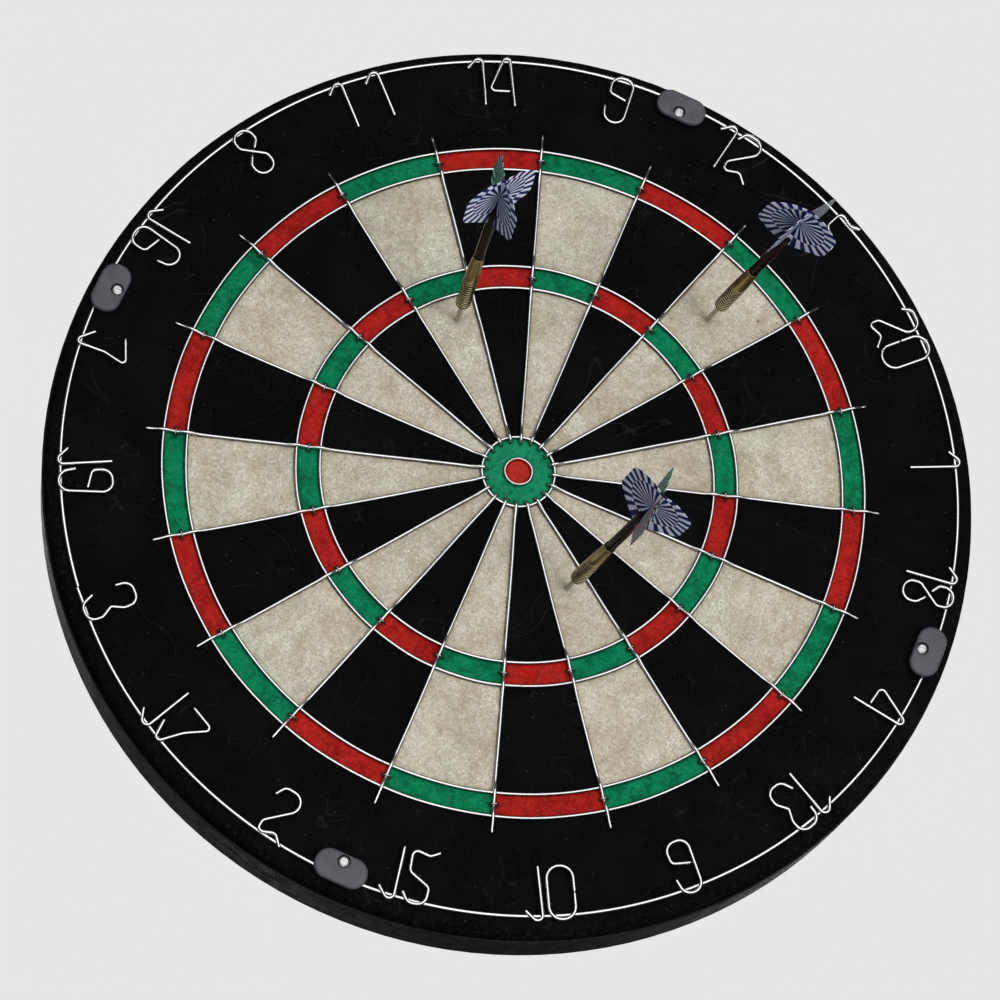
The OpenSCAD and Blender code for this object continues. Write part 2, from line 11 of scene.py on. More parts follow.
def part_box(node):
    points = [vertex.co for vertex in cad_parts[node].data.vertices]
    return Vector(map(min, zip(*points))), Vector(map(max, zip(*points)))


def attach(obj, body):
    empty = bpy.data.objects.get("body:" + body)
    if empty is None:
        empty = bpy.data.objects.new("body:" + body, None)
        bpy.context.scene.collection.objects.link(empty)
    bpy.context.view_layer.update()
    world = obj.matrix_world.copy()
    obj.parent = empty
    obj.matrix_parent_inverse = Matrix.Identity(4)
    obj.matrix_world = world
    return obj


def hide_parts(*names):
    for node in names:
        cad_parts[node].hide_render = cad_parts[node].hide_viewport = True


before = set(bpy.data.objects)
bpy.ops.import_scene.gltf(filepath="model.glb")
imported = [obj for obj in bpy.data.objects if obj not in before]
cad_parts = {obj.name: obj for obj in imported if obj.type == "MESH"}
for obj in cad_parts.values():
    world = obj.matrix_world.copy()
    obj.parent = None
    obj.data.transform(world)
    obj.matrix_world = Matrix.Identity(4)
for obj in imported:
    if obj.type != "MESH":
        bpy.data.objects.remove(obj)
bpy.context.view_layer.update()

# -------- sizes, millimetres unless they say metres
MM = 0.001
FACE_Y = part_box("black_segments")[0].y
SECTORS = 20
SECTOR = radians(360 / SECTORS)

WIRE_R = 0.8
NUMERAL_WIRE_R = 0.85
HOOP_WIRE_R = 1


def outer_radius(node, wire_r):
    """Centre-line radius of a ring node, from its box."""
    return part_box(node)[1].x / MM - wire_r


DOUBLE_OUTER = outer_radius("double_outer_wire", WIRE_R)
DOUBLE_INNER = outer_radius("double_inner_wire", WIRE_R)
TREBLE_OUTER = outer_radius("treble_outer_wire", WIRE_R)
TREBLE_INNER = outer_radius("treble_inner_wire", WIRE_R)
BULL_OUTER = outer_radius("outer_bull_wire", WIRE_R)
BULL_INNER = 6.6
HOOP_R = outer_radius("number_hoop", HOOP_WIRE_R)
BOARD_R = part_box("sisal_disc")[1].x / MM
SISAL_BACK = (FACE_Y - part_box("sisal_disc")[1].y) / MM
RIM_ROUND = 7
BED_DEPTH = -4
RINGS = (BULL_OUTER, TREBLE_INNER, TREBLE_OUTER, DOUBLE_INNER, DOUBLE_OUTER)
STAPLE_RINGS = ((TREBLE_INNER + TREBLE_OUTER) / 2, (DOUBLE_INNER + DOUBLE_OUTER) / 2)

CLIP_ANGLE = 45.6
CLIP_SCREW_R = 210.6
CLIP_OFFSET = 3.3
CLIP_L, CLIP_W, CLIP_CORNER, CLIP_UNDER, CLIP_H, CLIP_BOSS = 25.4, 14.4, 6.8, 2.3, 5.2, 3.1

BARREL_L, BARREL_R = 50, 3.6
GRIP_START, GRIP_L, GROOVES = 3, 27, 11
GROOVE_PITCH = (GRIP_L - GRIP_START) / GROOVES
POINT_L, POINT_R = 32, 1.15
SHAFT_L, SHAFT_R, SLOT_L, HALF_SLOT = 48, 2.5, 12, 0.24
FLIGHT_L, FIN_W, FILM = 38, 18, 0.16
# height on the flight that its printed rays spread from
BURST = 22.8
PLAIN, CLEAR, TEAL, ROSE = range(4)
# each fin's direction, look and curl
FINS = {
    "a": ((27, PLAIN, 0.4), (99, CLEAR, 0.6), (231, PLAIN, -0.5), (287, PLAIN, 0.6)),
    "b": ((101, PLAIN, -0.8), (168, TEAL, -2.2), (275, PLAIN, 0.6), (355, PLAIN, 0.5)),
    "c": ((32, PLAIN, 0.6), (138, TEAL, -2), (196, PLAIN, -0.6), (314, ROSE, -0.6)),
}
# x and z of a dart's hole, its lean up and sideways, its barrel's distance from the face, its fins,
# and how far its flight stands back in the slot; the last three are looked up by place
BARREL_AT, DART_FINS, STANDS_BACK = 4, 5, 6
DARTS = {
    "a": (-41.3, 119.7, 4.9, 5.3, 20.1, FINS["a"], 6.3),
    "b": (-82.6, 2.4, 3, -3.4, 16.4, FINS["b"], 0),
    "c": (61.8, -0.9, 7.8, 3.5, 14.8, FINS["c"], 0),
}
HOLES = [d[:2] for d in DARTS.values()]


# -------- geometry helpers
def on_face(points):
    """Points (right, up, out of the face) in millimetres to the shared frame in metres."""
    p = np.asarray(points, float) * MM
    return np.stack([p[:, 0], FACE_Y - p[:, 2], p[:, 1]], 1)


def around(points, turn):
    """Points drawn at the top of the face, turned clockwise by so many degrees."""
    a = radians(turn)
    p = np.asarray(points, float)
    x = p[:, 0] * cos(a) + p[:, 1] * sin(a)
    y = -p[:, 0] * sin(a) + p[:, 1] * cos(a)
    return np.stack([x, y, p[:, 2]], 1)


def dart_matrix(d):
    x, z, up, side = d[:4]
    return (
        Matrix.Translation((x * MM, FACE_Y, z * MM))
        @ Matrix.Rotation(radians(side), 4, "Z")
        @ Matrix.Rotation(radians(90 - up), 4, "X")
    )


def new_object(name, data):
    obj = bpy.data.objects.new(name, data)
    bpy.context.scene.collection.objects.link(obj)
    return obj


class Shell:
    """Vertices and faces of one or more closed shells, joined as they come."""

    def __init__(self):
        self.points = []
        self.faces = []
        self.count = 0
        self.flat = []

    def add(self, points, faces, flat=None):
        self.points.append(np.asarray(points, float))
        self.faces.extend(tuple(i + self.count for i in f) for f in faces)
        self.count += len(points)
        if flat is not None:
            self.flat.append(np.asarray(flat, float))
        return self

    def on_face(self, points, faces, turn=0, flat=None):
        """Adds a solid drawn at the top of the face, turned clockwise."""
        return self.add(on_face(around(points, turn)), faces, flat)

    def on_dart(self, d, points, faces, flat=None):
        """Adds a solid drawn along a dart's own axis, up from the face."""
        m = np.array(dart_matrix(d))
        return self.add((np.asarray(points, float) * MM) @ m[:3, :3].T + m[:3, 3], faces, flat)

    def build(self, name, material, body, node, split=None):
        """The object that stands in for a CAD node, in the slot that its material is named after."""
        mesh = bpy.data.meshes.new(name)
        mesh.from_pydata(np.concatenate(self.points).tolist(), [], self.faces)
        bm = bmesh.new()
        bm.from_mesh(mesh)
        bmesh.ops.recalc_face_normals(bm, faces=bm.faces)
        if split is not None:
            # edges that bend more than this stay crisp in smooth shading
            for e in bm.edges:
                e.smooth = len(e.link_faces) == 2 and e.calc_face_angle(0) < radians(split)
        bm.to_mesh(mesh)
        bm.free()
        if self.flat:
            layer = mesh.uv_layers.new(name="skin")
            corners = np.zeros(len(mesh.loops), np.int32)
            mesh.loops.foreach_get("vertex_index", corners)
            flat = np.concatenate(self.flat)[corners]
            layer.data.foreach_set("uv", flat.astype(np.float32).ravel())
        mesh.polygons.foreach_set("use_smooth", [True] * len(mesh.polygons))
        mesh.materials.append(material)
        obj = new_object(name, mesh)
        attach(obj, body)
        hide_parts(node)


def rows_of(count, length):
    """Point numbers of so many rows, each of the same length."""
    return [list(range(i * length, (i + 1) * length)) for i in range(count)]


def bridge(rows, around=True, closed=False):
    """Faces between neighbouring rows of point numbers; a row of one point is a pole."""
    faces = []
    for low, high in zip(rows, rows[1:] + rows[:1] if closed else rows[1:]):
        size = max(len(low), len(high))
        for k in range(size if around else size - 1):
            m = (k + 1) % size
            if len(low) == 1 < size:
                faces.append((low[0], high[m], high[k]))
            elif len(high) == 1 < size:
                faces.append((low[k], low[m], high[0]))
            elif size > 1:
                faces.append((low[k], low[m], high[m], high[k]))
    return faces


def caps(rows):
    """Flat ends of a row of rings."""
    return [tuple(rows[0]), tuple(reversed(rows[-1]))]


def border(rows):
    """Point numbers round the edge of a grid, in order."""
    right = [row[-1] for row in rows[1:-1]]
    left = [row[0] for row in rows[-2:0:-1]]
    return rows[0] + right + rows[-1][::-1] + left


def circle(radius, turns, height):
    """Points round the face at one height, from their angles."""
    return np.stack([radius * np.sin(turns), radius * np.cos(turns), np.full(len(turns), height)], 1)


def tube(path, radius, sides=12, closed=False):
    """Round wire swept along a path, with domed ends."""
    path = np.asarray(path, float)
    radius = np.broadcast_to(np.asarray(radius, float), (len(path),)).copy()
    if not closed:
        first = path[0] - path[1]
        last = path[-1] - path[-2]
        first /= np.linalg.norm(first)
        last /= np.linalg.norm(last)
        turns = np.radians([20, 45, 70])
        head = [path[0] + first * radius[0] * 0.6 * sin(t) for t in turns][::-1]
        tail = [path[-1] + last * radius[-1] * 0.6 * sin(t) for t in turns]
        path = np.concatenate([head, path, tail])
        radius = np.concatenate([radius[0] * np.cos(turns)[::-1], radius, radius[-1] * np.cos(turns)])
    n = len(path)
    if closed:
        along = np.roll(path, -1, 0) - np.roll(path, 1, 0)
    else:
        along = np.gradient(path, axis=0)
    along /= np.linalg.norm(along, axis=1)[:, None]
    side = np.cross(along[0], (0, 0, 1))
    if np.linalg.norm(side) < 0.1:
        side = np.cross(along[0], (1, 0, 0))
    points = np.zeros((n, sides, 3))
    turn = np.arange(sides) * 2 * pi / sides
    for i in range(n):
        side = side - along[i] * side.dot(along[i])
        side /= np.linalg.norm(side)
        up = np.cross(side, along[i])
        points[i] = path[i] + radius[i] * (np.cos(turn)[:, None] * side + np.sin(turn)[:, None] * up)
    rows = rows_of(n, sides)
    faces = bridge(rows, closed=closed) + ([] if closed else caps(rows))
    return points.reshape(-1, 3), faces


def rounded_path(corners, step=9):
    """Centre line through corner points (x, y, bend radius), each corner bent round its radius."""
    c = [np.array(p[:2], float) for p in corners]
    line = [c[0]]
    for i in range(1, len(c) - 1):
        r = corners[i][2]
        before, after = c[i] - c[i - 1], c[i + 1] - c[i]
        start = atan2(before[1], before[0])
        bend = atan2(before[0] * after[1] - before[1] * after[0], before.dot(after))
        sign = 1 if bend > 0 else -1
        cut = r * tan(abs(bend) / 2)
        unit = before / np.linalg.norm(before)
        centre = c[i] - unit * cut + sign * r * np.array([-unit[1], unit[0]])
        steps = max(2, int(degrees(abs(bend)) / step))
        for k in range(steps + 1):
            a = start - sign * pi / 2 + bend * k / steps
            line.append(centre + r * np.array([cos(a), sin(a)]))
    line.append(c[-1])
    return np.array(line)


def evenly(line, gap):
    """The same line with points no more than gap apart."""
    line = np.asarray(line, float)
    out = [line[0]]
    for a, b in zip(line[:-1], line[1:]):
        steps = max(1, int(ceil(np.linalg.norm(b - a) / gap)))
        out.extend(a + (b - a) * k / steps for k in range(1, steps + 1))
    return np.array(out)


def lathe(profile, segments):
    """Closed solid turned about +Z from (radius, height) points; radius 0 makes a pole."""
    points, rows = [], []
    for r, z in profile:
        sides = segments if r > 1e-6 else 1
        rows.append(list(range(len(points), len(points) + sides)))
        for k in range(sides):
            a = 2 * pi * k / segments
            points.append((r * cos(a), r * sin(a), z))
    return np.array(points), bridge(rows)


def raised(profile, rise):
    """The same profile, moved up."""
    return [(r, z + rise) for r, z in profile]


# -------- shader helpers
class Value:
    """A number in a node tree, so that shader maths reads as arithmetic."""

    def __init__(self, tree, socket):
        self.tree, self.socket = tree, socket


for word, operation in (("add", "ADD"), ("sub", "SUBTRACT"), ("mul", "MULTIPLY"), ("truediv", "DIVIDE")):
    setattr(Value, f"__{word}__", lambda a, b, operation=operation: a.tree.math(operation, a, b))
    setattr(Value, f"__r{word}__", lambda a, b, operation=operation: a.tree.math(operation, b, a))
Value.__abs__ = lambda a: a.tree.math("ABSOLUTE", a)


class Material:
    """A Principled material with short calls for the nodes that the scene uses."""

    def __init__(self, name):
        self.data = bpy.data.materials.new(name)
        self.data.use_nodes = True
        self.nodes, self.links = self.data.node_tree.nodes, self.data.node_tree.links
        self.nodes.clear()
        out = self.nodes.new("ShaderNodeOutputMaterial")
        self.shader = self.nodes.new("ShaderNodeBsdfPrincipled")
        self.links.new(self.shader.outputs[0], out.inputs["Surface"])
        self.place = self.nodes.new("ShaderNodeTexCoord").outputs["Object"]
        self.x, self.y, self.z = self.parts(self.place)
        self.color = None

    def parts(self, vector):
        split = self.nodes.new("ShaderNodeSeparateXYZ")
        self.links.new(vector, split.inputs[0])
        return [Value(self, s) for s in split.outputs]

    def put(self, socket, value):
        if isinstance(value, Value):
            self.links.new(value.socket, socket)
        elif isinstance(value, bpy.types.NodeSocket):
            self.links.new(value, socket)
        elif isinstance(value, (tuple, list)):
            socket.default_value = (*value, 1)
        else:
            socket.default_value = value

    def set(self, **values):
        for name, value in dict(values, Base_Color=self.color).items():
            self.put(self.shader.inputs[name.replace("_", " ")], value)

    def math(self, operation, *terms):
        node = self.nodes.new("ShaderNodeMath")
        node.operation = operation
        for socket, term in zip(node.inputs, terms):
            self.put(socket, term)
        return Value(self, node.outputs[0])

    def smooth(self, value, low, high, start=0, end=1):
        """0 below low, 1 above high, and a soft step between."""
        node = self.nodes.new("ShaderNodeMapRange")
        node.interpolation_type = "SMOOTHSTEP"
        for socket, term in zip(node.inputs, (value, low, high, start, end)):
            self.put(socket, term)
        return Value(self, node.outputs[0])

    def fall(self, value, low, high, start=1):
        """Start below low, 0 above high, and a soft step between."""
        return self.smooth(value, low, high, start, 0)

    def near(self, value, centre, width):
        """1 at centre, fading to 0 at width away."""
        return self.fall(abs(value - centre), 0, width)

    def texture(self, kind, source, **values):
        """A node fed with coordinates, the object's own unless others are given."""
        node = self.nodes.new(kind)
        self.links.new(source or self.place, node.inputs["Vector"])
        for name, value in values.items():
            node.inputs[name].default_value = value
        return node

    def placed(self, scale=(1, 1, 1), shift=(0, 0, 0), turn=(0, 0, 0), source=None):
        """Coordinates scaled, turned and moved."""
        place = dict(Location=shift, Rotation=turn, Scale=scale)
        return self.texture("ShaderNodeMapping", source, **place).outputs[0]

    def noise(self, size, detail=3, rough=0.55, distortion=0, source=None):
        """Noise whose features are about size millimetres across, 0 to 1."""
        look = dict(Scale=1000 / size, Detail=detail, Roughness=rough, Distortion=distortion)
        return Value(self, self.texture("ShaderNodeTexNoise", source, **look).outputs["Fac"])

    def cloud(self, low, high, *shape):
        """Noise of that shape, drawn apart to 0 below low and 1 above high."""
        return self.smooth(self.noise(*shape), low, high)

    def base(self, first, second, low, high, *shape):
        """Starts the colour as two tones in clouds."""
        self.color = self.mix(self.cloud(low, high, *shape), first, second)

    def stain(self, weight, color, low, high, *shape):
        """Lays a colour over in clouds, and returns them."""
        cloud = self.cloud(low, high, *shape)
        self.over(cloud * weight, color)
        return cloud

    def length(self, a, b):
        """Length of the vector (a, b)."""
        return self.math("SQRT", a * a + b * b)

    def cells(self, size, source=None):
        """Cells about size millimetres apart: distance in cell widths, and the cell's own number."""
        node = self.texture("ShaderNodeTexVoronoi", source, Scale=1000 / size)
        parts = self.nodes.new("ShaderNodeSeparateColor")
        self.links.new(node.outputs["Color"], parts.inputs[0])
        return Value(self, node.outputs["Distance"]), Value(self, parts.outputs[0])

    def specks(self, size, core, edge, least):
        """Round specks in the cells whose number is over least."""
        away, number = self.cells(size)
        return self.fall(away, core, edge) * self.math("GREATER_THAN", number, least)

    def mix(self, share, first, second):
        node = self.nodes.new("ShaderNodeMix")
        node.data_type = "RGBA"
        # the share and the two colours; the inputs between them are for other data types
        for i, value in ((0, share), (6, first), (7, second)):
            self.put(node.inputs[i], value)
        return node.outputs[2]

    def over(self, share, color):
        """Lays a colour over what is there, by its share."""
        self.color = self.mix(share, self.color, color)

    def bump(self, height, strength, depth):
        """Bump from a 0 to 1 height, where 1 stands depth millimetres proud."""
        node = self.nodes.new("ShaderNodeBump")
        node.inputs["Strength"].default_value = strength
        node.inputs["Distance"].default_value = depth * MM
        self.put(node.inputs["Height"], height)
        self.links.new(node.outputs[0], self.shader.inputs["Normal"])

    def skin(self):
        """The two coordinates laid on the piece when it was built."""
        node = self.nodes.new("ShaderNodeUVMap")
        node.uv_map = "skin"
        return self.parts(node.outputs[0])[:2]

    def polar(self):
        """Radius in millimetres, and distance along the circle to the nearest radial wire."""
        radius = self.length(self.x, self.z) * 1000
        angle = self.math("ARCTAN2", self.x, self.z) / SECTOR
        # 0 at a radial wire, half at the middle of a sector
        phase = self.math("FRACT", angle + (SECTORS + 0.5))
        folded = self.math("MINIMUM", phase, 1 - phase)
        return radius, folded * SECTOR * radius


# -------- materials, each called by its slot's name
def painted(paint):
    """The material that a function paints, under the function's own name."""
    m = Material(paint.__name__)
    paint(m)
    return m.data


def wire_distance(m, radius, along):
    """Distance to the nearest spider wire; the radial ones stop at the outer bull."""
    nearest = m.math("MAXIMUM", along, (BULL_OUTER - radius) * 4)
    for ring in RINGS:
        nearest = m.math("MINIMUM", nearest, abs(radius - ring))
    return nearest


def dim(color, share):
    """A share of a colour."""
    return [c * share for c in color]


def bristle_bump(m, strength, extra=None):
    """Bump of pressed bristle ends, tufts and soft hollows, less anything extra."""
    ends = m.cells(0.55)[0]
    tufts = m.noise(1.6, 4, 0.65)
    soft = m.noise(9, 2, 0.5)
    height = tufts * 0.55 + soft * 0.35 - ends * 0.25
    if extra is not None:
        height = height - extra
    m.bump(height, strength, 0.5)


def leg_holes_and_shade(m, radius, along):
    """Dark spots where staple legs and wire ends go into the sisal: torn sisal, and painted shade round the
    wires.
    """
    ragged = m.noise(1.3, 3, 0.6)
    dark = m.fall(m.length(radius - 15.6, along) + ragged * 2.6, 1.6, 3.2, 0.85)
    for ring in STAPLE_RINGS:
        away = m.length(radius - ring, along - 1.6)
        dark = m.math("MAXIMUM", dark, m.fall(away + ragged * 2.4, 1.7, 3.3))
    return dark


@painted
def sisal_natural(m):
    radius, along = m.polar()
    patches = m.cloud(0.36, 0.64, 26, 5, 0.65, 0.8)
    hue = m.cloud(0.38, 0.62, 38, 3, 0.5, 0.4, m.placed(shift=(2, 0, 5)))
    warm = m.mix(patches, (0.45, 0.37, 0.265), (0.64, 0.585, 0.47))
    cool = m.mix(patches, (0.425, 0.395, 0.295), (0.61, 0.605, 0.495))
    m.color = m.mix(hue, warm, cool)
    # pale clouds, brown mottle and fine grain
    m.stain(0.5, (0.67, 0.655, 0.56), 0.38, 0.62, 6, 6, 0.75, 1)
    m.stain(0.52, (0.31, 0.265, 0.19), 0.42, 0.6, 3.4, 6, 0.78, 1.6)
    m.stain(0.46, (0.25, 0.22, 0.158), 0.42, 0.64, 1.6, 4, 0.75, 1.4)
    # pale and brown curled bristle strokes
    for size, shift, wide in ((9, 7, 0.015), (6, 0, 0.02), (3.6, 3, 0.025)):
        curl = m.noise(size, 2, 0.4, 2.6, m.placed(shift=(shift, shift, shift)))
        stroke = m.near(curl, 0.5, wide)
        some = m.cloud(0.45, 0.58, 15, 2, 0.5, 0, m.placed(shift=(shift + 1, 0, 0)))
        m.over(stroke * some * 0.6, (0.86, 0.86, 0.8))
    for size, shift, weight in ((2.8, 5, 0.45), (5, 8, 0.32)):
        brown = m.noise(size, 3, 0.6, 2.2, m.placed(shift=(shift, 2, 0)))
        m.over(m.near(brown, 0.5, 0.02) * weight, (0.19, 0.155, 0.1))
    # warm stains, and beside the wires a brown darkening that is partly stain and partly painted contact
    # shade
    wire = wire_distance(m, radius, along)
    m.stain(0.42, (0.36, 0.275, 0.165), 0.54, 0.76, 6.5, 5, 0.7, 0.4)
    # painted contact shade beside the wires, mixed with stain
    edge = m.fall(wire, 0.6, 3.6)
    m.over(edge * m.cloud(0.4, 0.62, 3) * 0.5, (0.3, 0.235, 0.15))
    # the dyed edge wanders out from under the wire, and the dark line beside each wire is also painted
    # contact shade
    dye_edge_and_shade = m.fall(wire + m.noise(7, 3, 0.6) * 1.3, 1.25, 1.95)
    m.over(dye_edge_and_shade * 0.8, (0.03, 0.026, 0.02))
    # darker round the darts: worn sisal, and the darts' painted shadow
    ragged = m.noise(8, 4, 0.65) * 9
    for x, z in HOLES:
        away = m.length(m.x * 1000 - x, m.z * 1000 - z)
        m.over(m.fall(away + ragged, 4, 12) * 0.42, (0.23, 0.18, 0.125))
    # flecks and old dart holes
    m.over(m.specks(3.4, 0.05, 0.13, 0.55) * 0.75, (0.14, 0.1, 0.06))
    away, number = m.cells(17, source=m.placed(shift=(0.37, 0, 0.21)))
    kept = m.math("GREATER_THAN", number, 0.66)
    hole = m.fall(away, 0.016, 0.036) * kept
    halo = m.fall(away + m.noise(3) * 0.08, 0.06, 0.17) * kept
    m.over(halo * 0.35, (0.25, 0.18, 0.11))
    m.over(hole * 0.9, (0.035, 0.025, 0.018))
    m.set(Roughness=0.9, Specular_IOR_Level=0.15, Sheen_Weight=0.06, Sheen_Roughness=0.6)
    bristle_bump(m, 0.8, hole * 0.9)


@painted
def sisal_black(m):
    m.base((0.0022, 0.0025, 0.003), (0.0036, 0.004, 0.0046), 0.35, 0.7, 30, 4, 0.6, 0.5)
    m.stain(0.4, (0.008, 0.0086, 0.0095), 0.5, 0.8, 1.4, 4, 0.7)
    # long fine fibres, soft and pale
    fibres = ((62, 0, 0.0034, 0.45), (34, 4, 0.0045, 0.36), (15, 9, 0.007, 0.3))
    for size, shift, wide, weight in fibres:
        curl = m.noise(size, 2.5, 0.42, 0.9, m.placed(shift=(shift, 1, shift)))
        some = m.cloud(0.46, 0.6, 44, 3, 0.6, 0, m.placed(shift=(shift, 0.3, 2)))
        m.over(m.near(curl, 0.5, wide) * some * weight, (0.02, 0.0205, 0.02))
    # dust specks and scuffs
    m.over(m.specks(4.6, 0.03, 0.1, 0.72) * 0.7, (0.06, 0.058, 0.052))
    scuff = m.cloud(0.66, 0.78, 3.2, 5, 0.75, 1) * m.cloud(0.5, 0.66, 22)
    m.over(scuff * 0.55, (0.045, 0.043, 0.038))
    rim = m.smooth(m.polar()[0], BOARD_R - 8, BOARD_R - 1)
    m.over(rim * m.cloud(0.52, 0.7, 2.2, 5, 0.7) * 0.5, (0.03, 0.026, 0.02))
    m.set(Roughness=0.9, Specular_IOR_Level=0.03)
    bristle_bump(m, 0.6)


def dyed_sisal(name, base, deep, pale, fleck_color):
    """Dyed bristle, with painted contact shade along the wires, a painted shadow round the bull ring, and
    dark spots where legs go in that are torn sisal and painted shade.
    """
    m = Material(name)
    radius, along = m.polar()
    m.base(deep, base, 0.36, 0.6, 9, 5, 0.7, 0.6)
    m.stain(0.5, pale, 0.42, 0.68, 3, 5, 0.7, 1.2)
    m.stain(0.6, deep, 0.44, 0.72, 0.9, 3, 0.7)
    # the bull is the most worn: paler, with torn streaks
    bull = m.fall(radius, 15, 18.5)
    m.over(bull * m.smooth(m.noise(2.6, 5, 0.75, 1.2), 0.38, 0.6, 0.1, 0.72), pale)
    torn_streaks = m.cloud(0.56, 0.7, 1.8, 5, 0.75, 1.6, m.placed(shift=(4, 0, 1)))
    m.over(bull * torn_streaks * 0.55, dim(deep, 0.45))
    m.over(m.specks(3, 0.06, 0.2, 0.62) * 0.55, fleck_color)
    # painted contact shade along the wires
    edge = m.fall(wire_distance(m, radius, along), 0.5, 1.9)
    m.over(edge * 0.65, dim(deep, 0.35))
    # painted shadow of the raised bull ring, inside and outside it
    ring = m.fall(abs(radius - BULL_INNER) + m.noise(4) * 0.8, 0.9, 2)
    m.over(ring * 0.7, dim(deep, 0.3))
    # dark spots where legs go in: torn sisal and painted shade
    torn = leg_holes_and_shade(m, radius, along)
    m.over(torn * 0.85, (0.008, 0.011, 0.008))
    m.set(Roughness=0.9, Specular_IOR_Level=0.06)
    bristle_bump(m, 0.6, torn * 0.5)
    return m.data


def steel(name, bright, dark, roughness, spots=0.4, grain=2.5, shaded_foot=None):
    """Steel with dull patches and dark pits; shaded_foot says between which heights the painted shade, with a
    little dirt, on the lower side near the face fades.
    """
    m = Material(name)
    cloud = m.cloud(0.35, 0.7, grain * 3, 4, 0.6)
    pit = m.specks(grain * 2, 0.05, 0.22, 0.75) * spots
    m.color = m.mix(cloud * 0.5, bright, dim(bright, 0.86))
    m.over(pit, dark)
    if shaded_foot:
        # painted shade, with a little dirt, on the lower side of a wire near the face
        height = (FACE_Y - m.y) * 1000 + m.noise(5, 2) * 0.3 - 0.15
        m.over(m.fall(height, shaded_foot[0], shaded_foot[1], 0.96), (0.03, 0.027, 0.024))
    m.set(Metallic=1, Roughness=m.smooth(m.noise(grain, 3), 0.2, 0.8, roughness * 0.8, roughness * 1.3))
    m.bump(m.noise(grain * 2, 2, 0.5) - pit * 0.5, 0.04, 0.03)
    return m.data


@painted
def clip_plastic(m):
    """Grey moulding, with painted shade inside the screw's recess and a painted contact shadow on its lower
    sides.
    """
    away, rise = m.skin()
    m.base((0.06, 0.062, 0.071), (0.08, 0.082, 0.092), 0.35, 0.7, 8, 4, 0.6)
    m.stain(0.4, (0.135, 0.135, 0.14), 0.6, 0.76, 0.9, 4, 0.7)
    # painted shade inside the screw's recess
    recess_shade = m.fall(away + m.noise(0.8) * 0.06, 0.315, 0.365)
    m.over(recess_shade * 0.95, (0.004, 0.004, 0.004))
    # painted contact shadow on the clip's lower sides and boss
    shaded_foot = m.fall(rise + m.noise(3) * 0.03, 0.28, 0.42)
    m.over(shaded_foot * 0.75, (0.012, 0.012, 0.013))
    gloss = m.smooth(recess_shade, 0, 1, 0.45, 0.1)
    m.set(Roughness=m.smooth(m.noise(5), 0.2, 0.8, 0.42, 0.58), Specular_IOR_Level=gloss)
    m.bump(m.noise(0.45, 3, 0.6), 0.22, 0.06)


@painted
def barrel_brass(m):
    """Old brass: a painted highlight on the grip's ridges, and dark grooves that are partly dirt and partly
    painted shade.
    """
    height = m.skin()[1] * BARREL_L
    m.base((0.36, 0.285, 0.115), (0.54, 0.45, 0.2), 0.35, 0.72, 5, 4, 0.6, 0.4)
    m.stain(0.25, (0.29, 0.23, 0.095), 0.5, 0.74, 9, 3, 0.6)
    phase = m.math("FRACT", (height - GRIP_START) / GROOVE_PITCH + 20)
    on_grip = m.smooth(height, 2.6, 3) * m.fall(height, GRIP_L - 0.4, GRIP_L)
    groove = m.near(phase, 0.23, 0.3) * on_grip
    crest_highlight = m.near(phase, 0.72, 0.24) * on_grip
    # dark grooves: dirt and painted shade
    m.over(m.smooth(groove, 0.02, 0.35) * 0.97, (0.016, 0.012, 0.004))
    # painted highlight on the grip's ridges
    m.over(m.smooth(crest_highlight, 0.1, 0.5) * 0.95, (1, 0.95, 0.68))
    m.set(Metallic=1, Roughness=m.smooth(groove, 0, 0.6, 0.3, 0.6))
    m.bump(m.noise(0.5, 3, 0.6), 0.05, 0.03)


@painted
def shaft_plastic(m):
    m.base((0.004, 0.003, 0.003), (0.009, 0.006, 0.006), 0.3, 0.7, 7, 3)
    scratch = m.stain(0.25, (0.04, 0.035, 0.035), 0.62, 0.72, 0.6, 4, 0.7, 0, m.placed((1, 0.08, 1)))
    m.set(Roughness=m.smooth(m.noise(3), 0.3, 0.7, 0.16, 0.26), Specular_IOR_Level=0.08)
    m.bump(scratch, 0.06, 0.02)


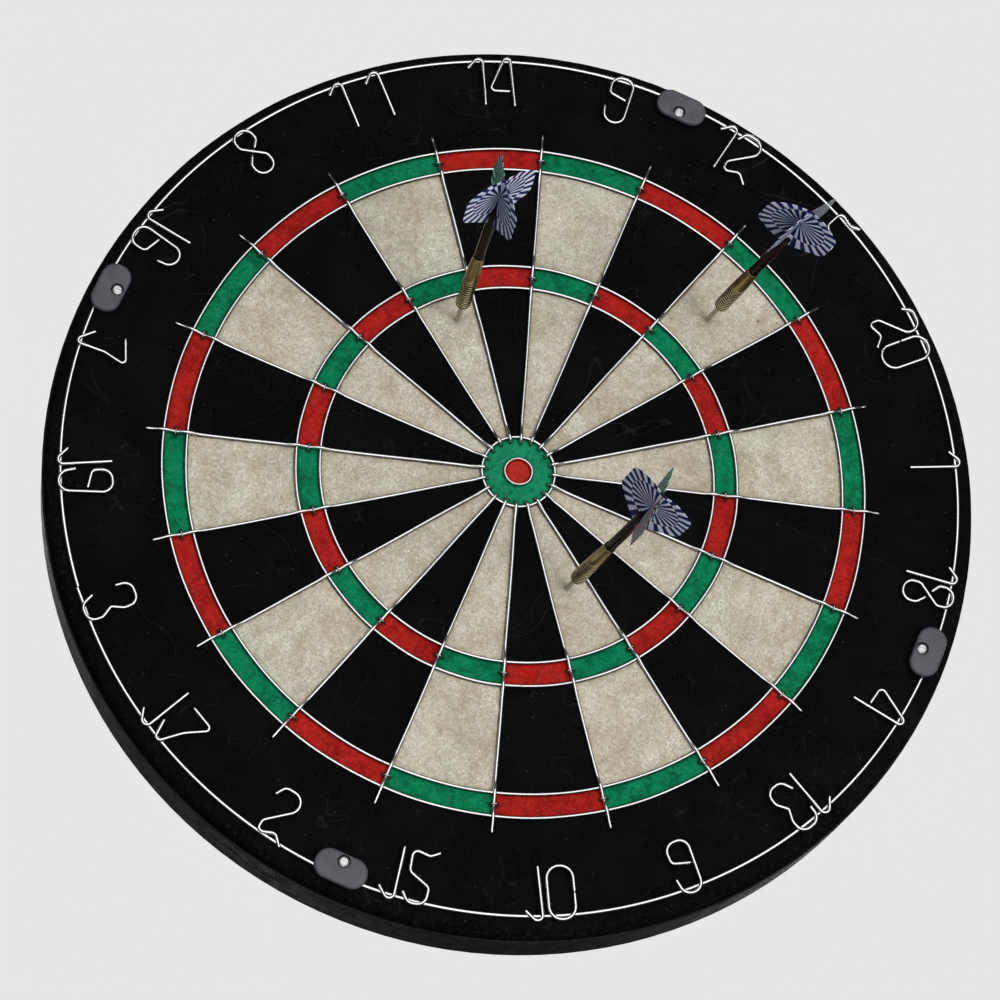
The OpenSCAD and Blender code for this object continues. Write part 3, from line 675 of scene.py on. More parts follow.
@painted
def flight_film(m):
    """Printed film: a sunburst about a point on the dart's axis, its bars swapped outside an inner circle.

    The first skin coordinate also carries the look of the fin, in steps of ten.
    """
    coded, v = m.skin()
    look = m.math("FLOOR", (coded + 5) / 10)
    u = coded - look * 10
    clear = m.math("COMPARE", look, CLEAR, 0.5)
    teal = m.math("GREATER_THAN", look, TEAL - 0.5)
    rose = m.math("GREATER_THAN", look, ROSE - 0.5)
    angle = m.math("ARCTAN2", v, u)
    reach = m.length(u, v)
    bars = m.math("SINE", angle * 22)
    swapped = bars * m.smooth(reach, 0.735, 0.75, -1, 1) + m.fall(reach, 0.735, 0.75, 0.26)
    dark = m.smooth(swapped, -0.2, 0.15)
    dark = m.math("MAXIMUM", dark, m.fall(reach, 0.02, 0.045))
    foil = m.cloud(0.35, 0.65, 2.6, 3, 0.6, 0.8)
    pale = m.mix(foil, (0.58, 0.67, 0.9), (0.86, 0.91, 1))
    heart = m.fall(reach, 0.1, 0.62)
    pale = m.mix(heart * 0.26, pale, (0.22, 0.33, 0.62))
    navy = m.mix(foil, (0.004, 0.009, 0.07), (0.01, 0.02, 0.13))
    blush = m.cloud(0.58, 0.7, 8, 2)
    pale = m.mix(blush * 0.3, pale, (0.72, 0.52, 0.82))
    navy = m.mix(blush * 0.4, navy, (0.09, 0.012, 0.09))
    deep = m.mix(rose, (0.002, 0.01, 0.012), (0.008, 0.016, 0.024))
    sheen = m.mix(foil, (0.08, 0.42, 0.33), (0.6, 0.86, 0.8))
    pink = m.mix(m.cloud(0.45, 0.6, 3, 2), (0.42, 0.72, 0.7), (0.82, 0.16, 0.36))
    pale = m.mix(teal, pale, m.mix(rose, sheen, pink))
    navy = m.mix(teal, navy, deep)
    m.color = m.mix(dark, pale, navy)
    m.over(clear * 0.7, (0.62, 0.66, 0.72))
    m.set(Roughness=0.4, Specular_IOR_Level=0.08, Alpha=1 - clear * 0.72)
    m.bump(m.noise(2.2, 3, 0.6), 0.12, 0.08)


@painted
def black_band(m):
    m.base((0.0045, 0.0045, 0.005), (0.009, 0.009, 0.01), 0.35, 0.7, 14, 4)
    m.stain(0.4, (0.022, 0.021, 0.02), 0.56, 0.72, 5, 5, 0.7)
    scratch = m.stain(0.4, (0.07, 0.068, 0.064), 0.66, 0.74, 1.6, 5, 0.75, 0, m.placed((1, 4, 1)))
    m.set(Roughness=m.smooth(m.noise(6, 3), 0.3, 0.7, 0.46, 0.62), Specular_IOR_Level=0.22)
    m.bump(m.noise(1.4, 3, 0.6) - scratch * 0.6, 0.12, 0.05)


@painted
def chipboard(m):
    tone = None
    for size, turn in ((3.4, 0.3), (2.2, 1.3), (4.6, 2.3)):
        turned = m.placed(turn=(0, turn, 0))
        number = m.cells(size, m.placed((1, 1, 0.5), shift=(turn, 0, 0), source=turned))[1]
        tone = number if tone is None else tone * 0.55 + number * 0.45
    m.color = m.mix(m.smooth(tone, 0.15, 0.85), (0.3, 0.2, 0.11), (0.52, 0.395, 0.25))
    # pale grit, dark gaps between the chips, and damp patches
    m.stain(0.35, (0.62, 0.5, 0.34), 0.4, 0.66, 1.2, 4, 0.75)
    dark = m.stain(0.6, (0.15, 0.09, 0.048), 0.6, 0.72, 2, 4, 0.7)
    m.stain(0.25, (0.26, 0.18, 0.11), 0.45, 0.65, 60, 3)
    m.set(Roughness=0.8, Specular_IOR_Level=0.25)
    m.bump(tone * 0.5 + m.noise(0.8, 3) * 0.4 - dark * 0.4, 0.35, 0.25)


@painted
def bracket_steel(m):
    """Galvanised sheet with its spangle, and a little rust."""
    number = m.cells(5.5)[1]
    m.color = m.mix(number, (0.5, 0.51, 0.52), (0.66, 0.67, 0.68))
    m.stain(0.3, (0.42, 0.42, 0.42), 0.35, 0.7, 9, 4)
    m.stain(0.5, (0.22, 0.12, 0.06), 0.66, 0.78, 4, 5, 0.7)
    m.set(Metallic=0.7, Roughness=m.smooth(number, 0, 1, 0.34, 0.5))
    m.bump(m.noise(0.9, 3), 0.12, 0.05)


@painted
def bumper_rubber(m):
    m.base((0.018, 0.018, 0.018), (0.04, 0.039, 0.037), 0.4, 0.7, 3, 4)
    m.set(Roughness=0.75, Specular_IOR_Level=0.35)
    m.bump(m.noise(0.5, 3), 0.3, 0.08)


sisal_red = dyed_sisal(
    "sisal_red", (0.375, 0.012, 0.009), (0.205, 0.007, 0.006), (0.5, 0.036, 0.026), (0.14, 0.075, 0.03)
)
sisal_green = dyed_sisal(
    "sisal_green", (0.0016, 0.188, 0.072), (0.001, 0.088, 0.033), (0.017, 0.275, 0.14), (0.11, 0.12, 0.04)
)
spider_wire = steel("spider_wire", (0.8, 0.8, 0.8), (0.22, 0.19, 0.16), 0.15, shaded_foot=(1, 1.52))
number_wire = steel("number_wire", (0.84, 0.84, 0.84), (0.3, 0.27, 0.24), 0.14, 0.25, shaded_foot=(1.15, 1.85))
staple_steel = steel("staple_steel", (0.62, 0.61, 0.6), (0.14, 0.11, 0.09), 0.3, 0.5, 1.5)
bull_ring_steel = steel("bull_ring_steel", (0.74, 0.65, 0.62), (0.26, 0.17, 0.13), 0.24, 0.4, 2)
bright_screw = steel("bright_screw", (0.64, 0.64, 0.65), (0.16, 0.16, 0.16), 0.34, 0.9, 0.5)
point_steel = steel("point_steel", (0.52, 0.475, 0.43), (0.12, 0.09, 0.065), 0.3, 0.5, 1.8)
zinc_screw = steel("zinc_screw", (0.66, 0.66, 0.66), (0.28, 0.24, 0.2), 0.32, 0.4, 2)
bush_steel = steel("bush_steel", (0.7, 0.7, 0.7), (0.3, 0.27, 0.24), 0.28, 0.3, 2.5)


# -------- sisal
def face_height(x, y):
    """How far the bristle surface stands above the face's plane."""
    h = -0.16
    for size, seed, height in ((21, 3.1, 0.1), (6.5, 7.7, 0.07), (2.4, 1.3, 0.05)):
        waves = [noise.noise(Vector((a / size, b / size, seed))) for a, b in zip(x, y)]
        h = h + height * np.array(waves)
    r = np.hypot(x, y)
    for ring in RINGS:
        h -= 0.1 * np.exp(-(((r - ring) / 1.5) ** 2))
    for hx, hy in HOLES:
        away = np.hypot(x - hx, y - hy)
        h += 0.22 * np.exp(-((away - 2.4) ** 2)) - 0.5 * np.exp(-((away / 1.3) ** 2))
    return h


def sisal_patch(shell, inner, outer, start, end, step=1.5):
    """One segment as a closed block: bristly top, walls and a flat base. A full turn closes on itself."""
    whole = end - start > 2 * pi - 1e-6
    rows = max(2, int(round((outer - inner) / step)))
    wide = max(48 if whole else 6, int(round((end - start) * (inner + outer) / 2 / step)))
    radii = np.linspace(inner, outer, rows + 1)
    turns = np.linspace(start, end, wide + 1)
    if whole:
        turns = turns[:-1]
    solid_centre = inner < 1e-6
    if solid_centre:
        radii = radii[1:]
    rr, tt = np.meshgrid(radii, turns, indexing="ij")
    x, y = (rr * np.sin(tt)).ravel(), (rr * np.cos(tt)).ravel()
    top = np.stack([x, y, face_height(x, y)], 1)
    grid = rows_of(len(radii), len(turns))
    faces = bridge(grid, around=whole)
    points = [top]
    count = len(top)

    def wall(loop):
        """Drops a loop of top points to the base and returns the base's own loop."""
        nonlocal count
        base = top[loop].copy()
        base[:, 2] = BED_DEPTH
        points.append(base)
        numbers = list(range(count, count + len(loop)))
        count += len(loop)
        faces.extend(bridge([loop, numbers]))
        return numbers

    if not whole:
        faces.append(tuple(wall(border(grid))))
    elif solid_centre:
        faces.append(tuple(wall(grid[-1])))
        points.append([[0, 0, face_height(np.zeros(1), np.zeros(1))[0]]])
        faces += bridge([[count], grid[0]])
    else:
        outer_base = wall(grid[-1])
        faces += bridge([wall(grid[0]), outer_base])
    shell.on_face(np.concatenate(points), faces)


SINGLES = ((BULL_OUTER, TREBLE_INNER), (TREBLE_OUTER, DOUBLE_INNER))
SCORING = ((TREBLE_INNER, TREBLE_OUTER), (DOUBLE_INNER, DOUBLE_OUTER))
# colour, first sector, beds, and the round patch at the bull
BEDS = (
    ("black", sisal_black, 0, SINGLES, None),
    ("natural", sisal_natural, 1, SINGLES, None),
    ("red", sisal_red, 0, SCORING, (0, BULL_INNER)),
    ("green", sisal_green, 1, SCORING, (BULL_INNER, BULL_OUTER)),
)


def build_sisal():
    for color, material, first, bands, bull in BEDS:
        shell = Shell()
        for k in range(first, SECTORS, 2):
            for inner, outer in bands:
                sisal_patch(shell, inner, outer, (k - 0.5) * SECTOR, (k + 0.5) * SECTOR)
        if bull:
            sisal_patch(shell, *bull, 0, 2 * pi, 0.8)
        shell.build(f"{color}_bristle", material, "board", f"{color}_segments", 60)
    build_rim()


def build_rim():
    """The disc itself: the black border, its rounded rim, the side under the band, and the core."""
    turns = 720
    round_from = BOARD_R - RIM_ROUND
    # radius, height, and how much of the bristle's roughness shows there
    rows = [(r, 0, 1) for r in np.arange(DOUBLE_OUTER, round_from, 1.6)]
    for a in np.radians(range(0, 91, 10)):
        rows.append((BOARD_R - RIM_ROUND * (1 - sin(a)), -RIM_ROUND * (1 - cos(a)), 1))
    rows += [(BOARD_R, z, 0.4) for z in np.arange(-9, SISAL_BACK + 1, -3)]
    rows += [(r, SISAL_BACK, 0) for r in (BOARD_R, 150, 60, 0)]
    rows += [(r, BED_DEPTH, 0) for r in (0, 60, DOUBLE_OUTER)]
    angle = np.arange(turns) * 2 * pi / turns
    points, ids = [], []
    count = 0
    for r, z, rough in rows:
        x, y = r * np.sin(angle), r * np.cos(angle)
        height = np.full(turns, z)
        if rough:
            lift = face_height(x + z, y - z) * rough
            tilt = min(1, max(0, (r - round_from) / RIM_ROUND)) if z < 0 else 0
            push = (lift + 0.02) * tilt * 1.6
            x, y = x * (1 + push / r), y * (1 + push / r)
            height = z + lift * (1 - tilt)
        # the middle of the core is one point
        ring = np.stack([x, y, height], 1)[: turns if r else 1]
        points.append(ring)
        ids.append(list(range(count, count + len(ring))))
        count += len(ring)
    shell = Shell().on_face(np.concatenate(points), bridge(ids, closed=True))
    shell.build("black_rim", sisal_black, "board", "sisal_disc", 60)


# -------- spider
# heights of the wires' centres, and of the wire ends that go into the sisal
RING_Z = 0.82
REST_Z = 0.92
OVER_Z = 2.12
FOOT_Z = -3
STAPLE_WIRE_R, STAPLE_HALF, STAPLE_BEND = 0.42, 1.35, 0.75
random = np.random.default_rng(5)


def wire_angle(k):
    """Degrees clockwise from the top to a radial wire."""
    return (k + 0.5) * 360 / SECTORS


def build_rings():
    parts = ("outer_bull", "treble_inner", "treble_outer", "double_inner", "double_outer")
    for part, ring in zip(parts, RINGS):
        count = 160 if ring < 30 else 720
        a = np.arange(count) * 2 * pi / count
        waves = random.uniform(-1, 1, 3)
        wave = waves[0] * np.sin(3 * a) + waves[1] * np.sin(7 * a + 1) + waves[2] * np.sin(20 * a)
        path = circle(ring + 0.1 * wave, a, RING_Z)
        shell = Shell().on_face(*tube(path, WIRE_R, closed=True))
        shell.build(f"{part}_wire_bent", spider_wire, "board", f"{part}_wire")


def radial_height(r):
    """Height of a radial wire's centre: it climbs over each ring and lies on the sisal between."""
    z = np.full_like(r, REST_Z)
    for ring in RINGS:
        step = np.clip(1 - np.abs(r - ring) / 6.5, 0, 1)
        z = np.maximum(z, REST_Z + (OVER_Z - REST_Z) * step * step * (3 - 2 * step))
    return z


def build_radials():
    shell = Shell()
    for k in range(SECTORS):
        inner = 15.4 + random.uniform(-0.4, 0.5)
        outer = 178.4 + random.uniform(-1.2, 1.2)
        r = np.concatenate([np.arange(inner + 1.6, outer - 1.2, 1.3), [outer - 1.2]])
        # both ends bend down into the sisal
        head = [(inner - 0.1, FOOT_Z), (inner - 0.05, -0.6), (inner + 0.05, 0.9), (inner + 0.5, 1.7)]
        tail = [(outer - 0.4, 0.55), (outer + 0.1, -0.1), (outer + 0.4, -1.2), (outer + 0.5, FOOT_Z)]
        line = np.concatenate([head, np.stack([r, radial_height(r)], 1), tail])
        reach = line[:, 0]
        bow = random.uniform(-0.22, 0.22) * np.sin(np.clip((reach - 20) / 150, 0, 1) * pi)
        kink = 0.12 * np.sin(reach / 11 + random.uniform(0, 6))
        path = np.stack([bow + kink * (reach > 25), reach, line[:, 1]], 1)
        thick = np.full(len(line), WIRE_R)
        for ring in RINGS:
            thick *= 1 + 0.16 * np.exp(-(((reach - ring) / 1.3) ** 2))
        thick[-4:] = WIRE_R * np.array([0.95, 0.85, 0.72, 0.6])
        path = around(path, wire_angle(k) + random.uniform(-0.06, 0.06))
        shell.on_face(*tube(path, thick))
    shell.build("radial_wires_bent", spider_wire, "board", "radial_wires")


def build_staples():
    for name, band in zip(("treble_staples", "double_staples"), STAPLE_RINGS):
        crown = radial_height(np.array([band]))[0] + WIRE_R + STAPLE_WIRE_R
        corners = [(-STAPLE_HALF, FOOT_Z, 0), (-STAPLE_HALF, crown, STAPLE_BEND)]
        corners += [(-x, z, bend) for x, z, bend in reversed(corners)]
        line = rounded_path(corners, 15)
        shell = Shell()
        for k in range(SECTORS):
            lean = radians(random.uniform(-12, 12))
            path = [line[:, 0] * cos(lean), band + line[:, 0] * sin(lean), line[:, 1]]
            shell.on_face(*tube(around(np.stack(path, 1), wire_angle(k)), STAPLE_WIRE_R, 10))
        shell.build(f"{name}_bent", staple_steel, "board", name)


def build_bull_ring():
    """Thin strip bent to a ring, its front edge rolled and its ends nearly meeting."""
    turns = np.linspace(0.02, 2 * pi - 0.02, 96)
    half = [(-0.37, FOOT_Z), (-0.37, 1.4), (-0.28, 1.68)]
    section = half + [(0, 1.78)] + [(-x, z) for x, z in reversed(half)]
    points = []
    for t in turns:
        r = BULL_INNER + 0.06 * sin(2 * t + 0.4) + 0.04 * sin(5 * t)
        turn = t + radians(200)
        points += [((r + dr) * sin(turn), (r + dr) * cos(turn), z) for dr, z in section]
    rows = rows_of(len(turns), len(section))
    shell = Shell().on_face(points, bridge(rows) + caps(rows))
    shell.build("bull_ring_strip", bull_ring_steel, "board", "inner_bull_ring", 50)


# -------- number ring
UPRIGHT, TURNED, MIRRORED = range(3)
# clockwise from the top: each numeral's digits, as a shape in DIGITS, an offset and how it is placed
NUMERALS = {
    20: ((2, -12.7), (0, 2.7)),
    1: ((1, -2.2),),
    18: ((1, -9.3), (8, 1.2)),
    4: ((4, -3.4),),
    13: ((1, -9.3), (3, 1)),
    6: ((6, -2.6),),
    10: ((0, -7.7), (1, 15.7, MIRRORED)),
    15: ((5, 5.8, TURNED), (1, 17, MIRRORED)),
    2: ((2, 12.3, TURNED),),
    17: ((7, 5, TURNED), (1, 19.8, MIRRORED)),
    3: ((3, 12.5, TURNED),),
    19: ((6, -4.2), (1, 18.4, MIRRORED)),
    7: ((9, 12.3, TURNED),),
    16: ((6, 5.6, TURNED), (1, 17.3, MIRRORED)),
    8: ((8, 10.7, MIRRORED),),
    11: ((1, -11.9), (1, 7.4)),
    14: ((1, -7), (4, 3.4)),
    9: ((6, 10.4, TURNED),),
    12: ((1, -8.7), (2, 1.4)),
    5: ((5, -3.1),),
}
# corner points (x, y, bend radius) of each bent-wire digit, as in the CAD source; the last is another 7
DIGITS = (
    ((0, 13.2, 0), (0, 25, 6), (12.4, 25, 6), (12.4, 0, 6), (0, 0, 6), (0, 12.1, 0)),
    ((0, 20.2, 0), (7.8, 28.9, 2.4), (7.3, 0, 0)),
    (
        (0, 20.4, 0), (2.4, 25.4, 3.5), (12.9, 25.4, 5.2), (12.3, 17.7, 5), (1.4, 6.7, 3), (1.8, 0.9, 2),
        (9.7, 4.6, 2.5), (14.5, 0.1, 0),
    ),
    (
        (0, 18, 0), (0.5, 25.1, 4.5), (11.3, 25.1, 4.5), (11.6, 18, 4), (8.9, 12.3, 1.2), (12.4, 7.1, 3),
        (12.4, 0, 4.5), (3.6, 0, 4.5), (0.8, 6.1, 0),
    ),
    ((9.3, 7, 0), (-0.5, 7.7, 2), (11.2, 30.8, 1.9), (11.5, -1, 0)),
    (
        (0, 4.7, 0), (3.2, 0.4, 3.5), (11.2, 0.6, 4.6), (11.4, 9.4, 3), (1, 14.6, 3.2), (0.3, 25.2, 2.4),
        (8.6, 23.7, 2.5), (12.6, 26.2, 0),
    ),
    (
        (12.2, 17.2, 0), (11, 25.1, 5), (1.7, 25.1, 5), (-0.1, 0, 4.8), (11.3, 0, 5), (11.3, 9.3, 2.5),
        (2.9, 11.7, 0),
    ),
    ((0, 22.7, 0), (13.6, 22.5, 1.8), (6, 11.6, 12), (0.3, -2.5, 1.8), (-4.4, 8.4, 0)),
    (
        (3.6, 14.1, 0), (0, 17.2, 3), (0, 24.9, 4.8), (10.1, 24.9, 4.8), (10.1, 17.5, 3), (0.7, 7.9, 3),
        (0.7, 0, 4.8), (10.9, 0, 4.8), (10.9, 7.3, 3), (7.4, 11.3, 0),
    ),
    ((0, 21, 0), (13.1, 24.6, 1.6), (9, 13, 8), (7.6, -3.4, 1.8), (0.3, 6.2, 0)),
)
NUMERAL_H = 25
NUMERAL_TOP = HOOP_R + 1.6
HOOP_Z = 1.05
NUMERAL_Z = HOOP_Z + HOOP_WIRE_R + NUMERAL_WIRE_R - 0.15


def digit_path(shape, offset, placing=UPRIGHT):
    """Centre line of one digit at the top of the face, its wire a little wavy inside the hoop."""
    line = evenly(rounded_path(DIGITS[shape]), 1.6)
    x, y = line[:, 0], line[:, 1]
    x = offset + (x if placing == UPRIGHT else -x)
    y = NUMERAL_TOP + (-y if placing == TURNED else y - NUMERAL_H)
    wave = 0.12 * np.sin(np.linspace(0, 9, len(x)) + offset)
    inward = np.clip((HOOP_R - 3 - np.hypot(x, y)) / 18, 0, 1)
    return np.stack([x, y, NUMERAL_Z + wave * inward], 1)


def weld(centre):
    """Small flattened bead where two wires are welded."""
    points, faces = lathe([(0, -0.7), (0.75, -0.45), (1, 0), (0.75, 0.45), (0, 0.7)], 12)
    return points * 0.95 + centre, faces


def build_number_ring():
    for k, (number, digits) in enumerate(NUMERALS.items()):
        shell = Shell()
        turn = k * 360 / SECTORS
        for digit in digits:
            path = digit_path(*digit)
            shell.on_face(*tube(path, NUMERAL_WIRE_R), turn)
            # a weld wherever the digit crosses the hoop
            inside = np.hypot(path[:, 0], path[:, 1]) < HOOP_R
            for x, y, _ in path[:-1][inside[:-1] != inside[1:]]:
                shell.on_face(*weld((x, y, (HOOP_Z + NUMERAL_Z) / 2)), turn)
        shell.build(f"numeral_{number}_wire", number_wire, "number_ring", f"numeral_{number}")
    joint = radians(184.8)
    a = np.linspace(joint + 0.0012, joint + 2 * pi - 0.0012, 900)
    # it sits a little off centre and is not quite round
    r = HOOP_R + 0.25 + 0.9 * np.cos(a - radians(250))
    r += 0.12 * np.sin(3 * a - 0.4)
    r += 0.05 * np.sin(11 * a)
    r[-6:] += np.linspace(0.05, 0.45, 6)
    shell = Shell().on_face(*tube(circle(r, a, HOOP_Z), HOOP_WIRE_R))
    shell.build("number_hoop_wire", number_wire, "number_ring", "number_hoop")


# -------- clips
def outline(l, w, corner, directions, centre_y):
    """Where rays from the screw meet a rounded oblong whose middle is centre_y above it."""
    out = []
    for t in directions:
        c, s = cos(t), sin(t)
        low, high = 0, 60
        for _ in range(40):
            mid = (low + high) / 2
            qx = max(0, abs(mid * c) - (l / 2 - corner))
            qy = max(0, abs(mid * s - centre_y) - (w / 2 - corner))
            if hypot(qx, qy) <= corner:
                low = mid
            else:
                high = mid
        out.append(low)
    return np.array(out)


def build_clips():
    sides = 180
    t = np.arange(sides) * 2 * pi / sides
    rounding, near_side = 1.5, CLIP_W / 2 - CLIP_OFFSET
    bore, recess, lip = 1.7, 2.9, 3.06

    def level(inset):
        return outline(CLIP_L - 2 * inset, CLIP_W - 2 * inset, CLIP_CORNER - inset, t, CLIP_OFFSET)

    def round_rows(*profile):
        return [(np.full(sides, r), z) for r, z in profile]

    rings = round_rows((bore, 0.03), (CLIP_BOSS - 0.1, 0.03), (CLIP_BOSS, 0.15), (CLIP_BOSS, CLIP_UNDER))
    rings.append((np.maximum(level(0.4), CLIP_BOSS + 0.02), CLIP_UNDER))
    rings += [(level(0.1), CLIP_UNDER + 0.15), (level(0), CLIP_UNDER + 0.45)]
    for s in np.radians((0, 12, 25, 38, 50, 62, 75, 90)):
        # the rounding is tighter beside the screw, so that it never meets the recess
        in_by, least = rounding * (1 - cos(s)), near_side - 0.75 * (1 - cos(s))
        rings.append((np.maximum(level(in_by), least), CLIP_H - rounding * 0.9 * (1 - sin(s))))
    top = rings[-1][0]
    rings += [(lip + (top - lip) * 0.5, CLIP_H), (lip + (top - lip) * 0.08, CLIP_H - 0.02)]
    floor = CLIP_H - 1.3
    rings += round_rows((2.96, CLIP_H - 0.1), (recess, CLIP_H - 0.3), (recess, floor), (bore, floor))
    points = np.concatenate(
        [np.stack([r * np.cos(t), CLIP_SCREW_R + r * np.sin(t), np.full(sides, z)], 1) for r, z in rings]
    )
    skin = np.concatenate([np.stack([r / 10, np.full(sides, z / 10)], 1) for r, z in rings])
    faces = bridge(rows_of(len(rings), sides), closed=True)
    for i, place in enumerate(("upper_right", "lower_right", "lower_left", "upper_left")):
        name = f"clip_{place}"
        shell = Shell().on_face(points, faces, CLIP_ANGLE + 90 * i, skin)
        shell.build(f"{name}_moulding", clip_plastic, name, name, 50)


# -------- darts
def barrel_profile():
    """Radius and height of the turned barrel, from its nose over the grip to its tail."""
    line = [(0, 0), (1.5, 0), (1.9, 0.12), (2.35, 0.55), (2.95, 1.25), (3.45, 2)]
    # depths of cut into the full radius
    groove = [(0, 0), (0.06, 0.09), (0.42, 0.24), (0.5, 0.5), (0.42, 0.76), (0.06, 0.91)]
    groove += [(0, 1), (-0.02, 1.5), (0, GROOVE_PITCH - 0.08)]
    waist = [(0, 0.3), (0.12, 0.5), (0.12, 0.8), (0.03, 1), (0.1, 5), (0.22, 10), (0.45, 15), (0.68, 19.5)]
    cuts = [(0.03, 2.4), (0, 2.75)]
    for i in range(GROOVES):
        cuts += raised(groove, GRIP_START + i * GROOVE_PITCH)
    cuts += raised(waist, GRIP_L)
    line += [(BARREL_R - cut, z) for cut, z in cuts]
    return line + raised(((2.82, -1.2), (2.8, -0.35), (2.68, -0.08), (2.45, 0), (0, 0)), BARREL_L)


def fin_width(heights):
    """Distance of a fin's outer edge from the axis at each height, from the convex outline of the CAD fin."""
    edge = [(0, 0.5), (SHAFT_R + 0.9, 0.5), (SHAFT_R + 0.9, 1.5)]
    edge += [(0, FLIGHT_L), (8.1, FLIGHT_L), (8.1, FLIGHT_L - 1)]
    for x, y, r in ((13, 15, 5), (11, 29, 7)):
        edge += [(x + r * cos(a), y + r * sin(a)) for a in np.linspace(-pi / 2, pi / 2, 25)]
    out = []
    for h in heights:
        best = 0
        for ax, ay in edge:
            for bx, by in edge:
                if ay <= h <= by and by > ay:
                    best = max(best, ax + (bx - ax) * (h - ay) / (by - ay))
        out.append(best)
    return np.array(out)


def build_fin(shell, d, index, turn, look, curl, start):
    """One fin: thin printed film, curled a little, from the axis to its outer edge."""
    rows, cols = 26, 12
    middle = np.linspace(2, FLIGHT_L - 0.9, rows - 4)
    heights = np.concatenate([[0.5, 1], middle, [FLIGHT_L - 0.4, FLIGHT_L]])
    h, share = np.meshgrid(heights, np.linspace(0, 1, cols), indexing="ij")
    x = share * fin_width(heights)[:, None]
    seed = np.random.default_rng(10 * index + 3)
    twist, ripple = seed.uniform(-0.8, 0.8), seed.uniform(-0.3, 0.3)
    lever = (x / FIN_W) ** 2
    bend = curl * lever + twist * lever * (h - FLIGHT_L / 2) / (FLIGHT_L / 2)
    bend += ripple * np.sin(h / 5 + index) * (x / FIN_W)
    bend *= np.clip((h - 0.5) / 9, 0, 1)
    c, s = cos(radians(turn)), sin(radians(turn))
    flat = np.stack([x / FIN_W + 10 * look, (h - BURST) / FIN_W], -1).reshape(-1, 2)
    points, count = [], rows * cols
    for side in (1, -1):
        out = bend + side * FILM / 2
        points.append(np.stack([x * c - out * s, x * s + out * c, start + h], -1).reshape(-1, 3))
    grid = rows_of(rows, cols)
    sheet = bridge(grid, around=False)
    faces = sheet + [tuple(count + v for v in reversed(q)) for q in sheet]
    rim = border(grid)
    for p, q in zip(rim, rim[1:] + rim[:1]):
        faces.append((p, q, count + q, count + p))
    shell.on_dart(d, np.concatenate(points), faces, np.concatenate([flat, flat]))


def build_shaft(shell, d, start):
    """Turned stem, and one prong between each two fins; start is the barrel's back end."""
    slot = start + SHAFT_L - SLOT_L
    stem = [(0, -6), (2.1, -6), (2.1, -0.05), (2.45, 0.02), (2.62, 0.2), (2.62, 1.1), (2.42, 1.35)]
    stem += [(2.36, 2), (2.45, 3.2), (SHAFT_R, 5)]
    stem_end = ((SHAFT_R, -1), (SHAFT_R - 0.03, 0.2), (0, 0.2))
    shell.on_dart(d, *lathe(raised(stem, start) + raised(stem_end, slot), 40))
    taper = ((1, 0), (1, 4), (0.99, SLOT_L - 2), (0.95, SLOT_L - 0.5), (0.84, SLOT_L))
    order = sorted(fin[0] for fin in d[DART_FINS])
    for first, second in zip(order, order[1:] + order[:1]):
        gap = (second - first) % 360
        steps = max(4, int(gap / 9))
        inmost = HALF_SLOT / max(0.2, sin(radians(min(gap, 180) / 2)))
        prong = []
        for share, z in raised(taper, slot):
            r = SHAFT_R * share
            edge = degrees(asin(HALF_SLOT / r))
            ring = [(inmost, first + gap / 2)]
            ring += [(r, first + edge + (gap - 2 * edge) * k / steps) for k in range(steps + 1)]
            prong += [(r * cos(radians(a)), r * sin(radians(a)), z) for r, a in ring]
        rows = rows_of(len(taper), steps + 2)
        shell.on_dart(d, prong, bridge(rows) + caps(rows))


def build_darts():
    for n, (key, d) in enumerate(DARTS.items()):
        body = f"dart_{key}"
        nose = d[BARREL_AT]
        tail = nose + BARREL_L
        points, faces = lathe(barrel_profile(), 56)
        turn = np.arctan2(points[:, 1], points[:, 0]) / (2 * pi)
        skin = np.stack([turn, points[:, 2] / BARREL_L], 1)
        barrel = Shell().on_dart(d, points + (0, 0, nose), faces, skin)
        barrel.build(f"{body}_barrel_turned", barrel_brass, body, f"{body}_barrel", 55)
        profile = raised(((0, 0), (0.12, 0.05), (0.55, 3.5), (1, 7.5), (POINT_R, 9.5)), nose - POINT_L)
        profile += raised(((POINT_R, -0.8), (1.3, -0.5), (1.35, 0.5), (0, 0.5)), nose)
        point = Shell().on_dart(d, *lathe(profile, 28))
        point.build(f"{body}_point_ground", point_steel, body, f"{body}_point", 55)
        shaft = Shell()
        build_shaft(shaft, d, tail)
        shaft.build(f"{body}_shaft_moulded", shaft_plastic, body, f"{body}_shaft", 40)
        flight = Shell()
        start = tail + SHAFT_L - SLOT_L - 0.4 + d[STANDS_BACK]
        for i, (turn, look, curl) in enumerate(d[DART_FINS]):
            build_fin(flight, d, 4 * n + i, turn, look, curl, start)
        flight.build(f"{body}_flight_film", flight_film, body, f"{body}_flight", 50)


# -------- carried-over CAD nodes
def dress(node, material, bevel=0):
    """Puts a material on a node of the frame, and rounds its edges by bevel millimetres."""
    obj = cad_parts[node]
    obj.data.materials.clear()
    obj.data.materials.append(material)
    if bevel:
        join = obj.modifiers.new("join", "WELD")
        join.merge_threshold = 0.00001
        soften = obj.modifiers.new("soften", "BEVEL")
        soften.width = bevel * MM
        soften.segments = 2
        soften.limit_method = "ANGLE"
        soften.angle_limit = radians(50)


build_sisal()
build_rings()
build_radials()
build_staples()
build_bull_ring()
build_number_ring()
build_clips()
build_darts()
dress("clip_screws", bright_screw)
dress("steel_band", black_band)
dress("backing_board", chipboard)
dress("wall_bracket", bracket_steel)
dress("hanger_bush", bush_steel, 0.25)
dress("hanging_screw", zinc_screw)
dress("bumpers", bumper_rubber, 0.5)
dress("bumper_screws", zinc_screw)


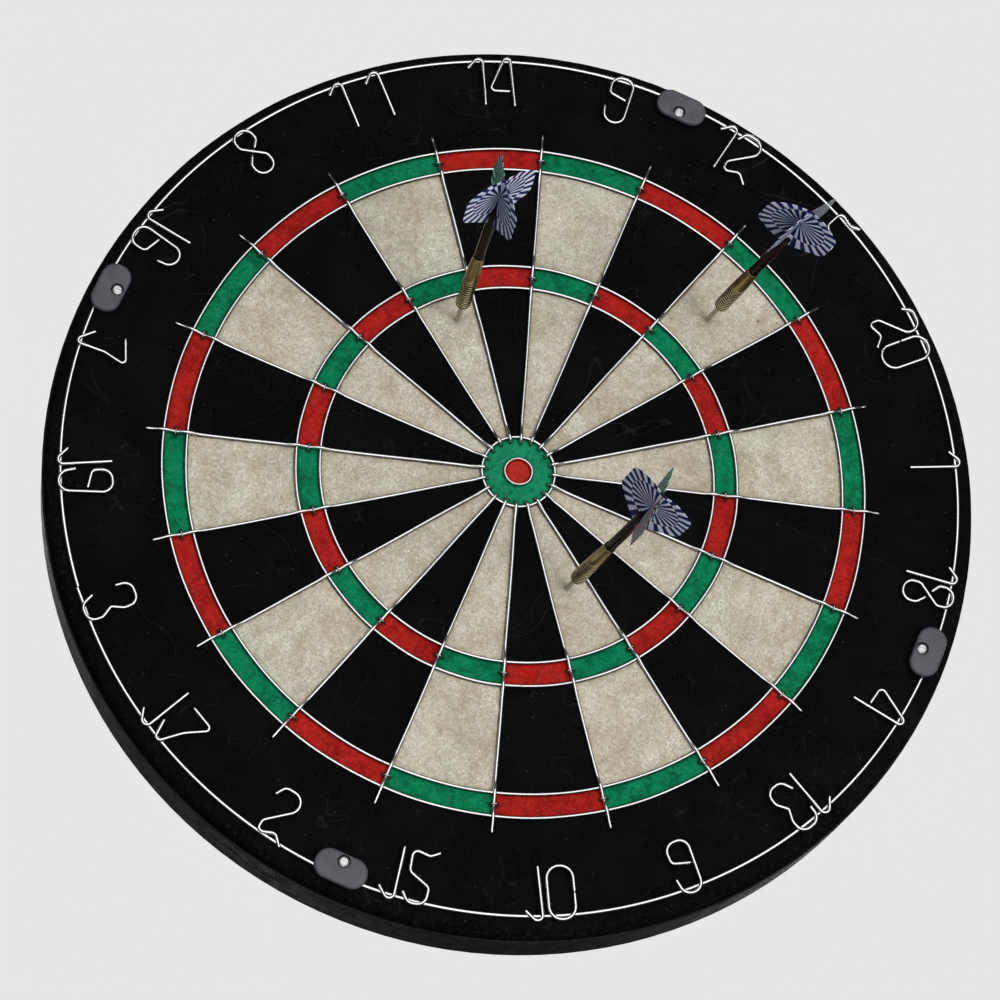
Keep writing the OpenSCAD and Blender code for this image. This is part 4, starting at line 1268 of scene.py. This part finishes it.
# -------- stage
def build_stage():
    m = Material("floor")
    m.base((0.17, 0.17, 0.17), (0.19, 0.19, 0.19), 0.3, 0.7, 400)
    m.set(Roughness=0.9, Emission_Color=(0.97, 0.97, 0.96), Emission_Strength=0.79)
    # the bull hangs 1.73 m above the floor
    bpy.ops.mesh.primitive_plane_add(size=60, location=(0, 0, -1.73))
    floor = bpy.context.object
    floor.name = "floor"
    floor.data.materials.append(m.data)
    floor.visible_glossy = floor.visible_shadow = floor.visible_diffuse = False

    world = bpy.data.worlds.new("studio")
    bpy.context.scene.world = world
    world.use_nodes = True
    nodes, links = world.node_tree.nodes, world.node_tree.links
    nodes.clear()
    out = nodes.new("ShaderNodeOutputWorld")
    path = nodes.new("ShaderNodeLightPath")
    # pale behind the object, softer as fill, and dim in reflections, as in a studio hung with dark cloth
    shades = {
        "seen": ((0.8, 0.8, 0.79), 1),
        "fill": ((0.95, 0.97, 1), 0.1),
        "mirrored": ((0.9, 0.95, 1), 0.05),
    }
    shade = {}
    for name, (color, strength) in shades.items():
        shade[name] = nodes.new("ShaderNodeBackground")
        shade[name].inputs[0].default_value = (*color, 1)
        shade[name].inputs[1].default_value = strength
    below = shade["fill"]
    for ray, name in (("Is Glossy Ray", "mirrored"), ("Is Camera Ray", "seen")):
        mix = nodes.new("ShaderNodeMixShader")
        links.new(path.outputs[ray], mix.inputs[0])
        links.new(below.outputs[0], mix.inputs[1])
        links.new(shade[name].outputs[0], mix.inputs[2])
        below = mix
    links.new(below.outputs[0], out.inputs[0])

    def softbox(name, direction, distance, size, power, color=(1, 1, 1), mirrored=True):
        data = bpy.data.lights.new(name, "AREA")
        data.shape = "RECTANGLE"
        data.size, data.size_y = size
        data.energy = power
        data.color = color
        light = new_object(name, data)
        toward = Vector(direction).normalized()
        light.location = Vector((0, FACE_Y, 0)) + toward * distance
        light.rotation_mode = "QUATERNION"
        light.rotation_quaternion = toward.to_track_quat("Z", "Y")
        light.visible_camera = False
        light.visible_glossy = mirrored

    softbox("key", (0.36, -0.89, 0.27), 2.2, (0.7, 0.7), 16, (1, 0.985, 0.96), False)
    softbox("front", (0.1, -1, 0.02), 2.2, (3.4, 3.4), 52)
    softbox("side", (0.92, -0.36, 0.2), 2.4, (0.9, 0.9), 13, (0.97, 0.98, 1), False)
    softbox("far_side", (-0.8, -0.4, -0.45), 2.4, (0.9, 0.9), 5, (0.97, 0.98, 1), False)
    softbox("back_fill", (-0.35, 1, 0.32), 3, (3.2, 3.2), 80)


def build_camera():
    aim = Vector((0.0102, FACE_Y - 0.0008, -0.014))
    distance = 1.5767
    azimuth, elevation, roll = np.radians((15.24, -14.69, 70.46)).tolist()
    level = cos(elevation)
    back = Vector((sin(azimuth) * level, -cos(azimuth) * level, sin(elevation)))
    data = bpy.data.cameras.new("camera")
    data.lens = 118.97
    data.sensor_width = 36
    data.clip_start, data.clip_end = 0.05, 60
    camera = new_object("camera", data)
    camera.location = aim + back * distance
    camera.rotation_mode = "QUATERNION"
    rolled = Matrix.Rotation(roll, 4, "Z").to_quaternion()
    camera.rotation_quaternion = (-back).to_track_quat("-Z", "Y") @ rolled
    bpy.context.scene.camera = camera
    bpy.context.scene.view_settings.view_transform = "Standard"


build_stage()
build_camera()
